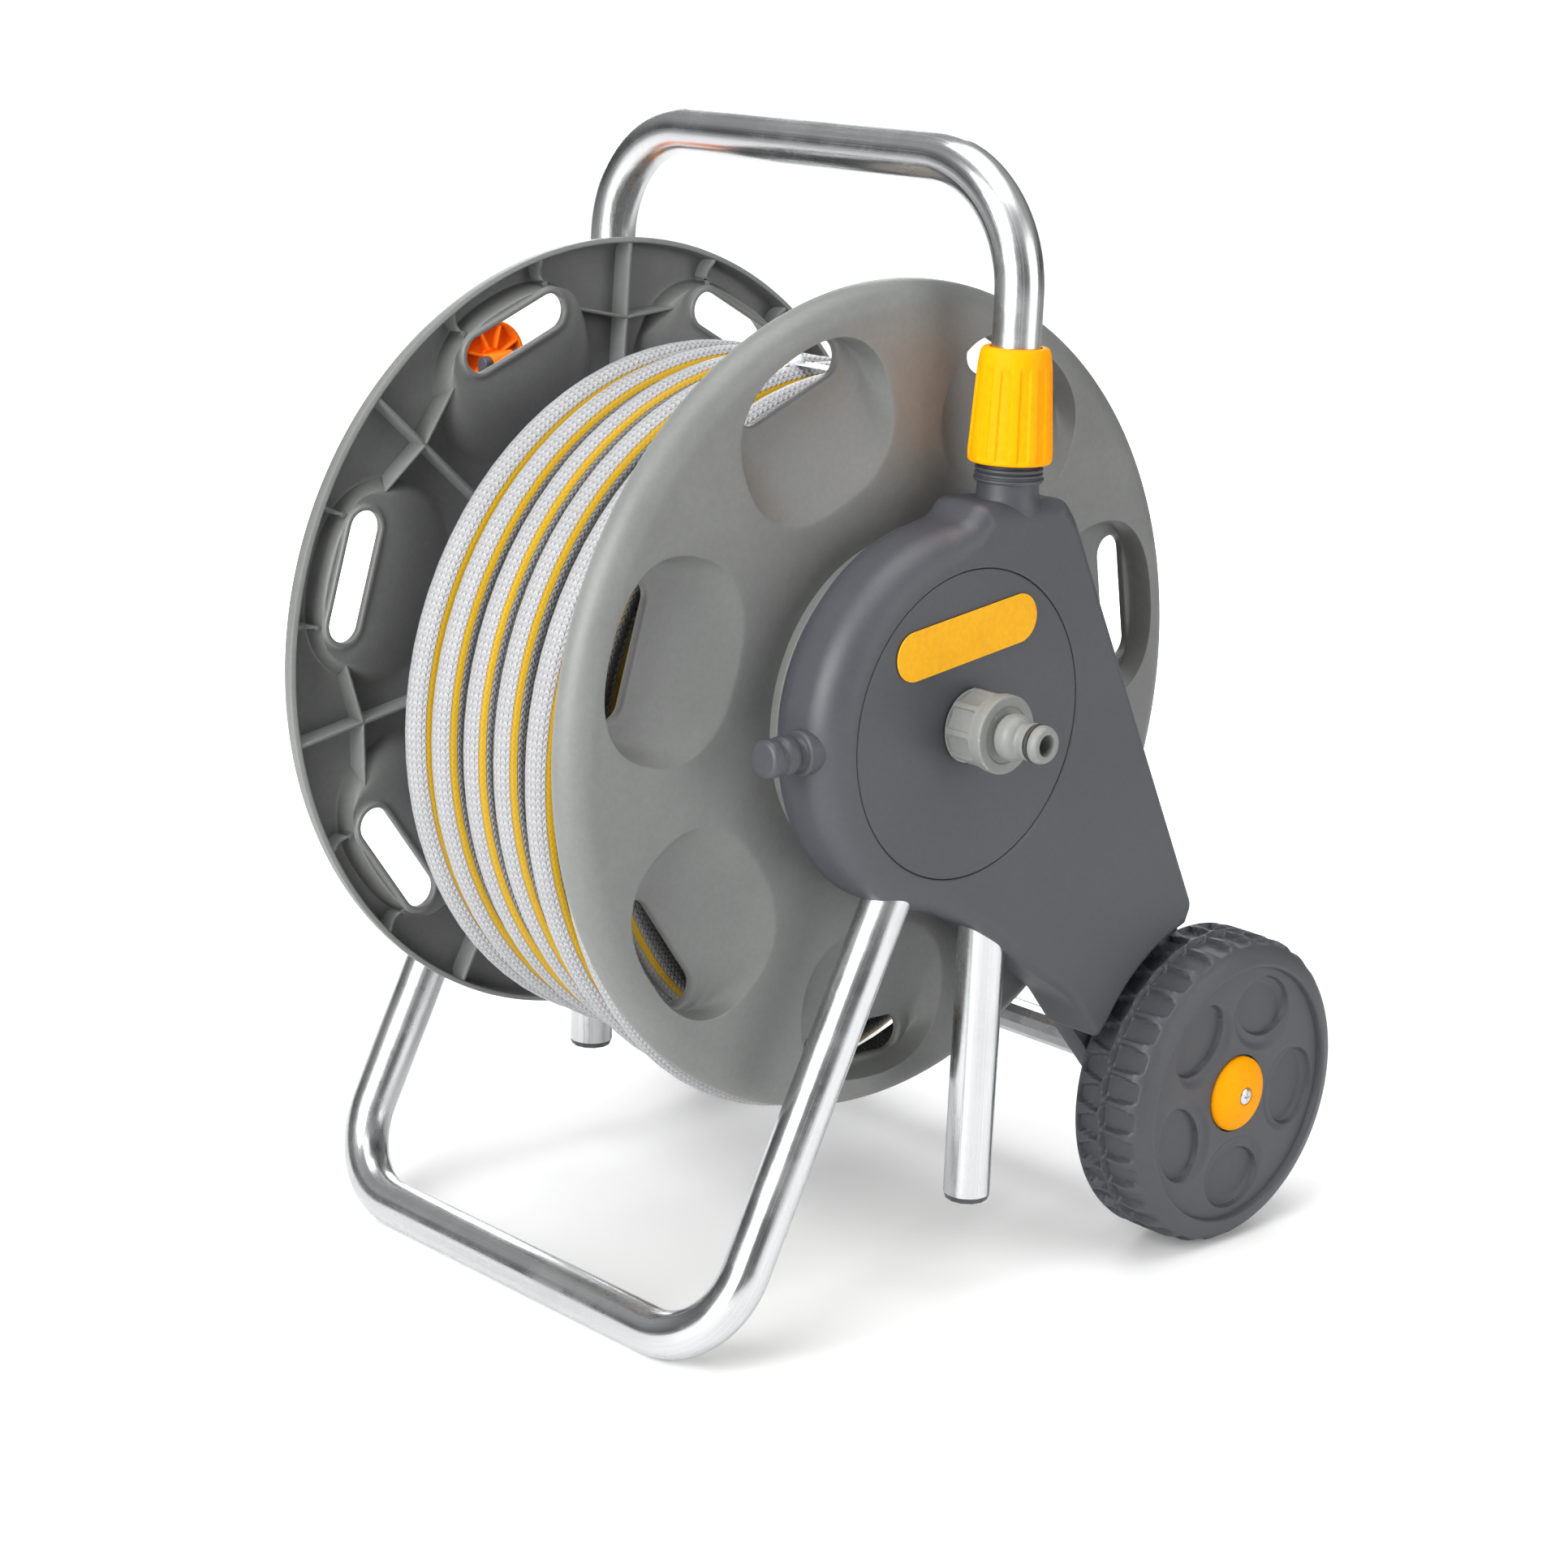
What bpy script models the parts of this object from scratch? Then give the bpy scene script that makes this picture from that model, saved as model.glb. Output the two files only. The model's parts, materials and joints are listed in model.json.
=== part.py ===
"""Garden hose reel cart, modelled piece by piece in metres with +Z up.

The drum turns on an axis along Y, the hose inlet is on the -Y side, the wheels are at +X and the
foot loop is at -X. The floor is z = 0 and the origin is under the middle of the cart.
"""

import bmesh
import bpy
import numpy as np
from mathutils import Matrix, Vector

# ---- driving dimensions, in metres ----
GAP = 0.0003  # left between pieces that touch
RUN = 0.0004  # radial play of a piece that slides or turns on another

TUBE_R = 0.011
TUBE_WALL = 0.0015
LEG_Y = 0.1365  # middle of every upright tube, from the middle plane
WHEEL_R = 0.078
WHEEL_DX = 0.1845  # wheel axis, drum axis to wheel axis along X
FOOT_DX = -0.127  # foot bar, drum axis to bar along X
FLANGE_R = 0.191
DRUM_X = -(WHEEL_DX + WHEEL_R - FLANGE_R) / 2  # the wheels and the flanges reach equally far
DRUM_Z = 0.2855
WHEEL_X = DRUM_X + WHEEL_DX
FOOT_X = DRUM_X + FOOT_DX
HALF_DEPTH = 0.198  # inlet tip and crank knob reach this far from the middle plane

FLANGE_FACE_Y = 0.106
FLANGE_LIP_Y = 0.092
SKIN = 0.003
RIM_ROUND = 0.010
FLANGE_BORE = 0.0203
HUB_RING_R = 0.0785
HUB_RING_Y = 0.117
POCKETS = 7
POCKET_PHASE = np.radians(113.6)
POCKET_MID = 0.140
POCKET_HALF = (0.037, 0.0455)  # radial and tangential half sizes at the face
FLOOR_MID = 0.1605
FLOOR_HALF = (0.0125, 0.0365)
FLOOR_Y = 0.0945
SLOT_MID = 0.1625
SLOT_HALF = (0.0085, 0.0310)
RIB = 0.0022
CORE_R = 0.062
UNION_Y = 0.037  # the hose leaves the barrel in the plane of its first turn

HOSE_OUT_R = 0.1665
HOSE_IN_R = 0.0805
HOSE_DROP = 0.018  # the wound hose hangs this far below the drum axis
HOSE_Y = (-0.0875, 0.0475)

PANEL_IN_Y = 0.1205
PANEL_OUT_Y = 0.152
LEG_OUT_Y = 0.134
DOME_R = 0.088
DOME_ROUND = 0.016
EDGE_ROUND = 0.006
DISC_R = 0.0705
WALL = 0.003
ARCH_R = 0.088  # wheel arch, round the wheel axis
HANDLE_DX = 0.0327
HANDLE_TOP_Z = 0.528
HANDLE_LOW_Z = 0.052
HANDLE_BEND = 0.056
FOOT_BEND = 0.042
FOOT_SLOPE = 0.487  # run over rise of the foot loop's legs
FOOT_TOP_Z = 0.243
NECK_R = 0.014
NECK_TOP_Z = 0.398
COLLAR_Z = (0.3985, 0.4495)
JOURNAL_R = 0.015
AXLE_R = 0.009
WHEEL_Y = (0.1368, 0.1770)

CRANK_ANGLE = np.radians(98.0)
CRANK_R = 0.126
CRANK_Y = (0.157, 0.165)
PIN_Y = 0.161

BIG = 36
MID = 20
SMALL = 12

DRUM = Vector((DRUM_X, 0.0, DRUM_Z))


# ---- helpers ----
def clear_scene():
    for thing in list(bpy.data.objects):
        bpy.data.objects.remove(thing, do_unlink=True)


def finish(name, kind):
    """(colour, roughness, metallic) of a kind of material, as a Principled BSDF of the piece's own."""
    colour, roughness, metallic = {
        "drum": ((0.16, 0.17, 0.17), 0.45, 0.0),
        "panel": ((0.075, 0.08, 0.095), 0.45, 0.0),
        "tube": ((0.75, 0.76, 0.77), 0.2, 1.0),
        "yellow": ((1.0, 0.5, 0.01), 0.35, 0.0),
        "orange": ((1.0, 0.2, 0.01), 0.35, 0.0),
        "grey": ((0.33, 0.34, 0.33), 0.4, 0.0),
        "rubber": ((0.02, 0.02, 0.02), 0.6, 0.0),
        "steel": ((0.6, 0.6, 0.62), 0.3, 1.0),
        "white": ((0.75, 0.75, 0.72), 0.4, 0.0),
        "hose": ((0.52, 0.52, 0.54), 0.4, 0.0),
    }[kind]
    made = bpy.data.materials.new(name + "_finish")
    made.use_nodes = True
    shader = made.node_tree.nodes["Principled BSDF"]
    shader.inputs["Base Color"].default_value = (*colour, 1.0)
    shader.inputs["Roughness"].default_value = roughness
    shader.inputs["Metallic"].default_value = metallic
    made.diffuse_color = (*colour, 1.0)
    return made


def place(name, shape, kind=None, parent=None):
    """A bmesh becomes an object with its faces out; without a kind it is a cutter."""
    bmesh.ops.remove_doubles(shape, verts=shape.verts, dist=1e-6)
    bmesh.ops.recalc_face_normals(shape, faces=shape.faces)
    mesh = bpy.data.meshes.new(name)
    shape.to_mesh(mesh)
    shape.free()
    piece = bpy.data.objects.new(name, mesh)
    bpy.context.scene.collection.objects.link(piece)
    if kind is None:
        piece.hide_render = True
        piece.display_type = "WIRE"
    else:
        mesh.materials.append(finish(name, kind))
        mesh.shade_smooth()
        mesh.set_sharp_from_angle(angle=np.radians(32))
    if parent is not None:
        piece.parent = parent
        piece.matrix_parent_inverse = Matrix.Translation(-Vector(parent.location))
    return piece


def joint_axis(name, at):
    """An empty on a joint's axis, for the pieces that move with it."""
    empty = bpy.data.objects.new(name, None)
    empty.location = at
    bpy.context.scene.collection.objects.link(empty)
    return empty


def combine(piece, operation, *others):
    for other in others:
        change = piece.modifiers.new(other.name, "BOOLEAN")
        change.operation = operation
        change.solver = "EXACT"
        change.object = other
    return piece


def cut(piece, *others):
    return combine(piece, "DIFFERENCE", *others)


def join(piece, *others):
    return combine(piece, "UNION", *others)


def loft(rings, closed=False):
    """Skins rings of points that have equal counts, and caps the two ends unless the loft is closed."""
    shape = bmesh.new()
    rows = [[shape.verts.new(point) for point in ring] for ring in rings]
    pairs = list(zip(rows, rows[1:])) + ([(rows[-1], rows[0])] if closed else [])
    for low, high in pairs:
        for i in range(len(low)):
            j = (i + 1) % len(low)
            shape.faces.new((low[i], low[j], high[j], high[i]))
    if not closed:
        shape.faces.new(rows[0][::-1])
        shape.faces.new(rows[-1])
    return shape


def basis(along):
    """Two unit vectors square to a direction. The first one is as near +X as it can be."""
    along = Vector(along).normalized()
    guide = Vector((1, 0, 0)) if abs(along.x) < 0.9 else Vector((0, 0, 1))
    first = (guide - along * guide.dot(along)).normalized()
    return first, along.cross(first)


def turned(profile, at, along=(0, 1, 0), sides=MID, closed=False):
    """A turned piece: profile holds (distance along the axis, radius), closed makes a ring of it."""
    first, second = basis(along)
    along = Vector(along).normalized()
    angles = 2 * np.pi * np.arange(sides) / sides
    rings = [
        [Vector(at) + along * t + (first * np.cos(a) + second * np.sin(a)) * r for a in angles]
        for t, r in profile
    ]
    return loft(rings, closed)


def ring(low, high, inner, outer, at, along=(0, 1, 0), sides=MID):
    """A plain washer or sleeve."""
    return turned([(low, inner), (low, outer), (high, outer), (high, inner)], at, along, sides, closed=True)


def block(low, high):
    """A box between two corners."""
    xs, ys, zs = zip(low, high)
    rings = [[(x, y, z) for x, y in ((xs[0], ys[0]), (xs[1], ys[0]), (xs[1], ys[1]), (xs[0], ys[1]))] for z in zs]
    return loft(rings)


def rounded_route(corners, radius, steps=5):
    """The corners of a bent tube, with each inner corner replaced by an arc."""
    corners = [Vector(corner) for corner in corners]
    route = [corners[0]]
    for before, corner, after in zip(corners, corners[1:], corners[2:]):
        back, ahead = (before - corner).normalized(), (after - corner).normalized()
        half = back.angle(ahead) / 2
        centre = corner + (back + ahead).normalized() * radius / np.sin(half)
        start, end = corner + back * radius / np.tan(half), corner + ahead * radius / np.tan(half)
        for i in range(steps + 1):
            turn = (start - centre).normalized().slerp((end - centre).normalized(), i / steps)
            route.append(centre + turn * radius)
    return route + [corners[-1]]


def swept(route, radius, up, sides=SMALL):
    """Rings of a round tube along a route that lies in one plane, whose normal is up."""
    up = Vector(up).normalized()
    rings = []
    for i, point in enumerate(route):
        ahead = route[min(i + 1, len(route) - 1)] - point
        behind = point - route[max(i - 1, 0)]
        heading = (ahead.normalized() + behind.normalized()).normalized()
        side = heading.cross(up)
        angles = 2 * np.pi * np.arange(sides) / sides
        rings.append([point + (side * np.cos(a) + up * np.sin(a)) * radius for a in angles])
    return rings


def pipe(route, up, outer=TUBE_R, inner=TUBE_R - TUBE_WALL, sides=SMALL):
    """An open-ended tube with a wall."""
    return loft(swept(route, outer, up, sides) + swept(route, inner, up, sides)[::-1], closed=True)


def stadium(half_long, half_wide, steps=3):
    """A slot outline with round ends, long along its second axis: (across, along) points."""
    ends = []
    for turn in (0, np.pi):
        for a in turn + np.pi * np.arange(steps + 1) / steps:
            lift = half_long - half_wide
            ends.append((half_wide * np.cos(a), half_wide * np.sin(a) + (lift if turn == 0 else -lift)))
    return ends


def egg(half_across, half_along, sides=14, power=2.4):
    """A superellipse outline: (across, along) points."""
    angles = 2 * np.pi * np.arange(sides) / sides
    c, s = np.cos(angles), np.sin(angles)
    return list(zip(
        half_across * np.sign(c) * np.abs(c) ** (2 / power),
        half_along * np.sign(s) * np.abs(s) ** (2 / power),
    ))


def polar(radius, angle, across, along, y):
    """A point near radius and angle from the drum axis, moved outwards by across and round by along."""
    out = Vector((np.cos(angle), 0, np.sin(angle)))
    round_ = Vector((-np.sin(angle), 0, np.cos(angle)))
    return Vector((DRUM_X, y, DRUM_Z)) + out * (radius + across) + round_ * along


# ---- the drum ----
def flange(side, name, axis):
    """One moulded cheek of the drum: a skin with a rolled rim, seven finger pockets, and ribs inside."""
    face, lip = side * FLANGE_FACE_Y, side * FLANGE_LIP_Y
    bends = np.pi / 2 * np.arange(3) / 2
    outer = [(face - side * RIM_ROUND * (1 - np.cos(a)), FLANGE_R - RIM_ROUND * (1 - np.sin(a))) for a in bends]
    inner_r = FLANGE_R - SKIN
    profile = (
        [(face, FLANGE_BORE), (face, HUB_RING_R - 0.004), (side * HUB_RING_Y, HUB_RING_R - 0.004)]
        + [(side * HUB_RING_Y, HUB_RING_R), (face, HUB_RING_R)]
        + outer
        + [(lip, FLANGE_R), (lip, inner_r), (face - side * SKIN, inner_r - RIM_ROUND / 2)]
        + [(face - side * SKIN, FLANGE_BORE)]
    )
    skin = place(name, turned(profile, DRUM, sides=BIG, closed=True), "drum", axis)
    for k in range(POCKETS):
        angle = POCKET_PHASE + 2 * np.pi * k / POCKETS
        pocket_shapes(skin, side, angle, f"{name}_{k}")
    for k in range(POCKETS):
        pocket = POCKET_PHASE + 2 * np.pi * k / POCKETS
        main_rib(skin, side, pocket + np.pi / POCKETS, f"{name}_rib_{k}", 0.0655, inner_r + 0.001)
    return skin


def pocket_shapes(skin, side, angle, name):
    """Adds a pocket's bulge behind the skin, then hollows it and opens its slot."""
    face = side * FLANGE_FACE_Y

    def scoop(grow, top, bottom, label, share=0.0):
        mouth = egg(POCKET_HALF[0] + grow, POCKET_HALF[1] + grow)
        floor = egg(FLOOR_HALF[0] + grow, FLOOR_HALF[1] + grow)
        rings = []
        for part, y in ((share, top), (1.0, bottom)):
            middle = POCKET_MID + (FLOOR_MID - POCKET_MID) * part
            rings.append([
                polar(middle, angle, a * (1 - part) + c * part, b * (1 - part) + d * part, y)
                for (a, b), (c, d) in zip(mouth, floor)
            ])
        return place(f"{name}_{label}", loft(rings))

    depth = FLANGE_FACE_Y - FLOOR_Y
    slope = 0.0015 / depth
    bulge = scoop(0.0024, face - side * 0.0015, side * (FLOOR_Y - 0.0024), "bulge", slope)
    hollow = scoop(0.0, face + side * 0.0005, side * FLOOR_Y, "hollow", -0.0005 / depth)
    slot = [
        [polar(SLOT_MID, angle, a, b, y) for a, b in stadium(SLOT_HALF[1], SLOT_HALF[0])]
        for y in (side * (FLOOR_Y + 0.003), side * (FLANGE_LIP_Y - 0.005))
    ]
    join(skin, bulge)
    cut(skin, hollow, place(f"{name}_slot", loft(slot)))


def main_rib(skin, side, angle, name, start, end):
    """A thin radial web on the inside of the cheek."""
    low, high = side * (FLANGE_LIP_Y + 0.0012), side * (FLANGE_FACE_Y - SKIN / 2)
    rings = [
        [polar(r, angle, 0, b, y) for r, b in ((start, -RIB / 2), (end, -RIB / 2), (end, RIB / 2), (start, RIB / 2))]
        for y in (low, high)
    ]
    join(skin, place(name, loft(rings)))


def drum_core(axis):
    """The barrel that the hose is wound on, held between the two cheeks."""
    end = FLANGE_FACE_Y - SKIN - GAP
    barrel = place("drum_core", ring(-end, end, CORE_R - WALL, CORE_R, DRUM, sides=32), "drum", axis)
    port = turned([(0, 0.0085), (0.02, 0.0085)], hose_port() + Vector((0, 0, -0.012)), (0, 0, 1), SMALL)
    return cut(barrel, place("core_port", port))


def hose_port():
    """Where the water leaves the barrel, on its underside."""
    return DRUM + Vector((0, UNION_Y, -CORE_R))


def spindle(axis):
    """The hollow journal on the inlet side. It turns in the near bush and carries the water."""
    flange_in = FLANGE_FACE_Y - SKIN - GAP
    profile = [(-0.1475, 0.0085), (-0.1475, JOURNAL_R), (-FLANGE_FACE_Y, JOURNAL_R), (-FLANGE_FACE_Y, 0.020)]
    profile += [(-flange_in, 0.020), (-flange_in, 0.030), (-0.098, 0.030), (-0.098, 0.013), (-0.030, 0.013)]
    profile += [(-0.030, 0.0085)]
    return place("water_spindle", turned(profile, DRUM, closed=True), "grey", axis)


def water_elbow(axis):
    """The bent pipe from the spindle down to the port in the barrel."""
    start = DRUM + Vector((0, -0.0297, 0))
    corner = DRUM + Vector((0, UNION_Y, 0))
    route = rounded_route([start, corner, hose_port() + Vector((0, 0, WALL + 0.0018))], 0.016, 4)
    return place("water_elbow", pipe(route, (1, 0, 0), 0.011, 0.007), "grey", axis)


def hose_tail(axis):
    """The barbed union under the barrel that the hose is pushed on to. It points towards -X."""
    port = hose_port()
    stem = place("hose_tail", turned([(-0.0170, 0.0112), (-GAP, 0.0112)], port, (0, 0, 1), SMALL), "grey", axis)
    profile = [(-0.002, 0.0080), (0.016, 0.0080), (0.017, 0.0062), (0.026, 0.0055)]
    barb = turned(profile, port + Vector((0, 0, -0.0086)), (-1, 0, 0), SMALL)
    return join(stem, place("tail_barb", barb))


def crank_shaft(axis):
    """The solid journal on the crank side, with a square end for the arm."""
    flange_in = FLANGE_FACE_Y - SKIN - GAP
    profile = [(0.098, 0.030), (flange_in, 0.030), (flange_in, 0.020), (FLANGE_FACE_Y, 0.020)]
    profile += [(FLANGE_FACE_Y, JOURNAL_R), (0.1565, JOURNAL_R)]
    shaft = place("crank_shaft", turned(profile, DRUM), "grey", axis)
    square = block(DRUM + Vector((-0.007, 0.150, -0.007)), DRUM + Vector((0.007, CRANK_Y[1] - 0.001, 0.007)))
    return join(shaft, place("shaft_square", square))


def crank_arm(axis):
    """The flat arm, with a boss over the shaft's square and a fork for the knob's hinge at its end."""
    out = Vector((np.cos(CRANK_ANGLE), 0, np.sin(CRANK_ANGLE)))
    side = Vector((-out.z, 0, out.x))
    outline = [(0.0, -0.016), (0.104, -0.012), (0.104, 0.012), (0.0, 0.016)]
    rings = [[DRUM + out * r + side * t + Vector((0, y, 0)) for r, t in outline] for y in CRANK_Y]
    arm = place("crank_arm", loft(rings), "panel", axis)
    boss = turned([(CRANK_Y[0] + 0.0001, 0.020), (CRANK_Y[1] + 0.004, 0.019)], DRUM, sides=MID)
    join(arm, place("arm_boss", boss))
    half = (CRANK_Y[1] - CRANK_Y[0]) / 2 - 0.0002
    turn = np.radians(np.linspace(-90, 90, 9))
    ear = [(-0.026, -half), *zip(half * np.cos(turn), half * np.sin(turn)), (-0.026, half)]
    for sign in (-1, 1):
        rings = [[crank_pin() + out * r + side * (sign * t) + Vector((0, y, 0)) for r, y in ear] for t in (0.0075, 0.0118)]
        join(arm, place(f"arm_ear_{sign}", loft(rings)))
    pin = turned([(-0.02, 0.0022), (0.02, 0.0022)], crank_pin(), side, SMALL)
    socket = 0.007 + GAP
    square = block(DRUM + Vector((-socket, 0.15, -socket)), DRUM + Vector((socket, CRANK_Y[1] - 0.0005, socket)))
    screw = turned([(0.15, 0.0022), (0.175, 0.0022)], DRUM, sides=SMALL)
    return cut(arm, place("arm_pin_hole", pin), place("arm_square", square), place("arm_screw_hole", screw))


def crank_pin():
    out = Vector((np.cos(CRANK_ANGLE), 0, np.sin(CRANK_ANGLE)))
    return DRUM + out * CRANK_R + Vector((0, PIN_Y, 0))


def crank_screw(axis):
    """The screw that holds the arm on the shaft; its head stands on the arm's boss."""
    head = CRANK_Y[1] + 0.004 + GAP
    profile = [(CRANK_Y[1] - 0.0005, 0.0018), (head, 0.0018), (head, 0.0045), (head + 0.002, 0.0038)]
    return place("crank_screw", turned(profile, DRUM, sides=SMALL), "steel", axis)


def knob_parts(fold_axis, knob_axis):
    """The folding knob: a hinged base with a hollow, ribbed back, its pin, and the knob that turns on it."""
    pin, y = crank_pin(), Vector((0, 1, 0))
    out = Vector((np.cos(CRANK_ANGLE), 0, np.sin(CRANK_ANGLE)))
    side = Vector((-out.z, 0, out.x))
    half = 0.0069
    barrel = turned([(-half, 0.0042), (half, 0.0042)], pin, side, SMALL)
    base = place("knob_base", barrel, "orange", fold_axis)
    low = CRANK_Y[1] - PIN_Y + 0.0004
    a, b = 0.0034, half - 0.0005
    foot = ((-a, -b), (a, -b), (a, b), (-a, b))
    stalk = [[pin + out * u + side * v + y * t for u, v in foot] for t in (0.0005, low + 0.0030)]
    cup = turned([(low, 0.0185), (low + 0.0055, 0.0190)], pin, y, MID)
    join(base, place("base_stalk", loft(stalk)), place("base_cup", cup))
    spigot = turned([(low + 0.005, 0.0055), (0.0345, 0.0055)], pin, y, SMALL)
    join(base, place("base_spigot", spigot))
    hole = turned([(-0.01, 0.0026), (0.01, 0.0026)], pin, side, SMALL)
    cut(base, place("base_pin_hole", hole))
    place("knob_pin", turned([(-0.0115, 0.0022 - 0.0001), (0.0115, 0.0022 - 0.0001)], pin, side, SMALL), "steel", fold_axis)
    start = low + 0.0055 + GAP
    end = HALF_DEPTH - PIN_Y
    bore = 0.0055 + RUN
    profile = [(start, bore), (start, 0.0165), (start + 0.006, 0.0145), (end - 0.008, 0.0175), (end - 0.002, 0.0165)]
    profile += [(end, 0.0125), (end, 0.004), (0.0345 + 2 * GAP, 0.004), (0.0345 + 2 * GAP, bore)]
    place("crank_knob", turned(profile, pin, y, closed=True), "orange", knob_axis)


def hose_coil(axis):
    """The wound hose as one ring. It hangs a little below the drum's axis."""
    low, high = HOSE_Y
    soft = 0.006
    profile = [(low, HOSE_IN_R), (low, HOSE_OUT_R - soft), (low + soft, HOSE_OUT_R), (high - soft, HOSE_OUT_R)]
    profile += [(high, HOSE_OUT_R - soft), (high, HOSE_IN_R)]
    coil = turned(profile, DRUM - Vector((0, 0, HOSE_DROP)), sides=40, closed=True)
    return place("hose_coil", coil, "hose", axis)


# ---- the side panels ----
def offset(outline, distance):
    """Moves each edge of a closed outline inwards; a list of distances gives each point its own."""
    points = np.array(outline)
    distance = np.broadcast_to(distance, len(points))
    before, after = points - np.roll(points, 1, 0), np.roll(points, -1, 0) - points
    before /= np.linalg.norm(before, axis=1)[:, None]
    after /= np.linalg.norm(after, axis=1)[:, None]
    normal = np.stack([-(before + after)[:, 1], (before + after)[:, 0]], 1)
    normal /= (normal * np.stack([-before[:, 1], before[:, 0]], 1)).sum(1)[:, None]
    return points + normal * distance[:, None]


def arc(centre, radius, start, end, steps):
    """Points on an arc, from a start to an end angle in degrees."""
    angles = np.radians(np.linspace(start, end, steps + 1))
    return [(centre[0] + radius * np.cos(a), centre[1] + radius * np.sin(a)) for a in angles]


def panel_outline():
    """(x, z) from the drum axis, anticlockwise, and the edge rounding at each point."""
    wheel = (WHEEL_DX, WHEEL_R - DRUM_Z)
    parts = [
        ([(0.1745, -0.1150), (0.0625, 0.0900), (0.0585, 0.0945)], EDGE_ROUND),
        ([(0.0050, 0.0965), (0.0015, 0.0940), (-0.0020, 0.0885)], EDGE_ROUND),
        (arc((0, 0), DOME_R, 101, 262, 16), DOME_ROUND),
        ([(0.0180, -0.0985), (0.0480, -0.1215), (0.0850, -0.1465), (0.1020, -0.1700)], EDGE_ROUND),
        (arc(wheel, ARCH_R, 150, 99, 6), EDGE_ROUND / 2),
    ]
    outline = [point for points, _ in parts for point in points]
    rounding = [r for points, r in parts for _ in points]
    return outline, rounding


def leg_outline():
    """The flat leg behind the wheel, from the panel down and round the wheel axis."""
    wheel = (WHEEL_DX, WHEEL_R - DRUM_Z)
    return [(0.1700, -0.1000), (0.0900, -0.1000), (0.0860, -0.1475)] + arc(wheel, 0.036, 212, 390, 14)


def slab(outline, rounding, low, high, side, steps=2):
    """An outline drawn out along Y, with its outer edge rounded by each point's own radius."""
    rings = [[Vector((x + DRUM_X, side * low, z + DRUM_Z)) for x, z in outline]]
    for a in np.pi / 2 * np.arange(steps + 1) / steps:
        inset = np.array(rounding) * (1 - np.cos(a))
        depth = high - np.array(rounding) * (1 - np.sin(a))
        moved = offset(outline, inset)
        rings.append([Vector((x + DRUM_X, side * y, z + DRUM_Z)) for (x, z), y in zip(moved, depth)])
    return loft(rings)


def side_panel(side, name):
    """The moulded panel: a hollow shell with the neck for the handle and a socket for the foot loop."""
    outline, rounding = panel_outline()
    leg = leg_outline()
    flat = [0.0015] * len(leg)
    hollow = offset(outline, WALL)
    inner_round = np.maximum(np.array(rounding) - WALL, 0.001)
    leg_hollow = offset(leg, WALL)
    panel = place(name, slab(outline, rounding, PANEL_IN_Y, PANEL_OUT_Y, side), "panel")
    join(panel, place(name + "_leg", slab(leg, flat, PANEL_IN_Y + 0.0001, LEG_OUT_Y, side, 1)))
    neck_at = Vector((DRUM_X + HANDLE_DX, side * LEG_Y, 0))
    collar = [(0.365, NECK_R + 0.003), (0.3815, NECK_R + 0.003), (0.384, NECK_R), (NECK_TOP_Z, NECK_R)]
    join(panel, place(name + "_neck", turned(collar, neck_at, (0, 0, 1))))
    cut(
        panel,
        place(name + "_hollow", slab(hollow, inner_round, PANEL_IN_Y - 0.01, PANEL_OUT_Y - WALL, side)),
        place(name + "_leg_hollow", slab(leg_hollow, flat, PANEL_IN_Y - 0.009, LEG_OUT_Y - WALL, side, 1)),
    )
    sleeve_r = TUBE_R + 0.0028
    sleeve = turned([(0.185, sleeve_r), (0.372, sleeve_r)], neck_at, (0, 0, 1), SMALL)
    foot = foot_direction()
    foot_low = foot_point(0.2035) + Vector((0, side * LEG_Y, 0))
    socket_length = (FOOT_TOP_Z - 0.2035) * np.hypot(1, FOOT_SLOPE) + 0.004
    socket = turned([(0.0, sleeve_r), (socket_length, sleeve_r)], foot_low, foot, SMALL)
    lug_at = Vector((WHEEL_X, 0, WHEEL_R))
    boss_y = [(side * (PANEL_IN_Y + 0.0002), AXLE_R + 0.005), (side * (LEG_OUT_Y - 0.0002), AXLE_R + 0.005)]
    lug = turned(boss_y, lug_at, sides=SMALL)
    join(
        panel,
        place(name + "_sleeve", sleeve),
        place(name + "_socket", socket),
        place(name + "_axle_boss", lug),
    )
    bore = turned([(0.14, TUBE_R + RUN), (0.41, TUBE_R + RUN)], neck_at, (0, 0, 1), SMALL)
    foot_bore = turned([(-0.03, TUBE_R + GAP), (socket_length - 0.0035, TUBE_R + GAP)], foot_low, foot, SMALL)
    axle_bore = turned([(side * 0.11, AXLE_R + GAP), (side * 0.145, AXLE_R + GAP)], lug_at, sides=SMALL)
    opening = turned([(side * 0.14, 0.064), (side * 0.155, 0.064)], DRUM, sides=24)
    seat = turned([(side * (PANEL_OUT_Y - 0.0019), DISC_R + GAP), (side * 0.155, DISC_R + GAP)], DRUM, sides=40)
    cut(
        panel,
        place(name + "_bore", bore),
        place(name + "_foot_bore", foot_bore),
        place(name + "_axle_bore", axle_bore),
        place(name + "_opening", opening),
        place(name + "_seat", seat),
    )
    if side < 0:
        hole = turned([(-0.05, 0.0102 + GAP), (0.03, 0.0102 + GAP)], peg_base(), (-1, 0, 0))
        cut(panel, place(name + "_peg_hole", hole))
    return panel


def foot_direction():
    return Vector((FOOT_SLOPE, 0, 1)).normalized()


def foot_point(z):
    """A point of the foot loop's leg line at a height, in the middle plane."""
    return Vector((FOOT_X + (z - TUBE_R) * FOOT_SLOPE, 0, z))


def peg_base():
    return DRUM + Vector((-DOME_R, -LEG_Y, -0.003))


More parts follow.
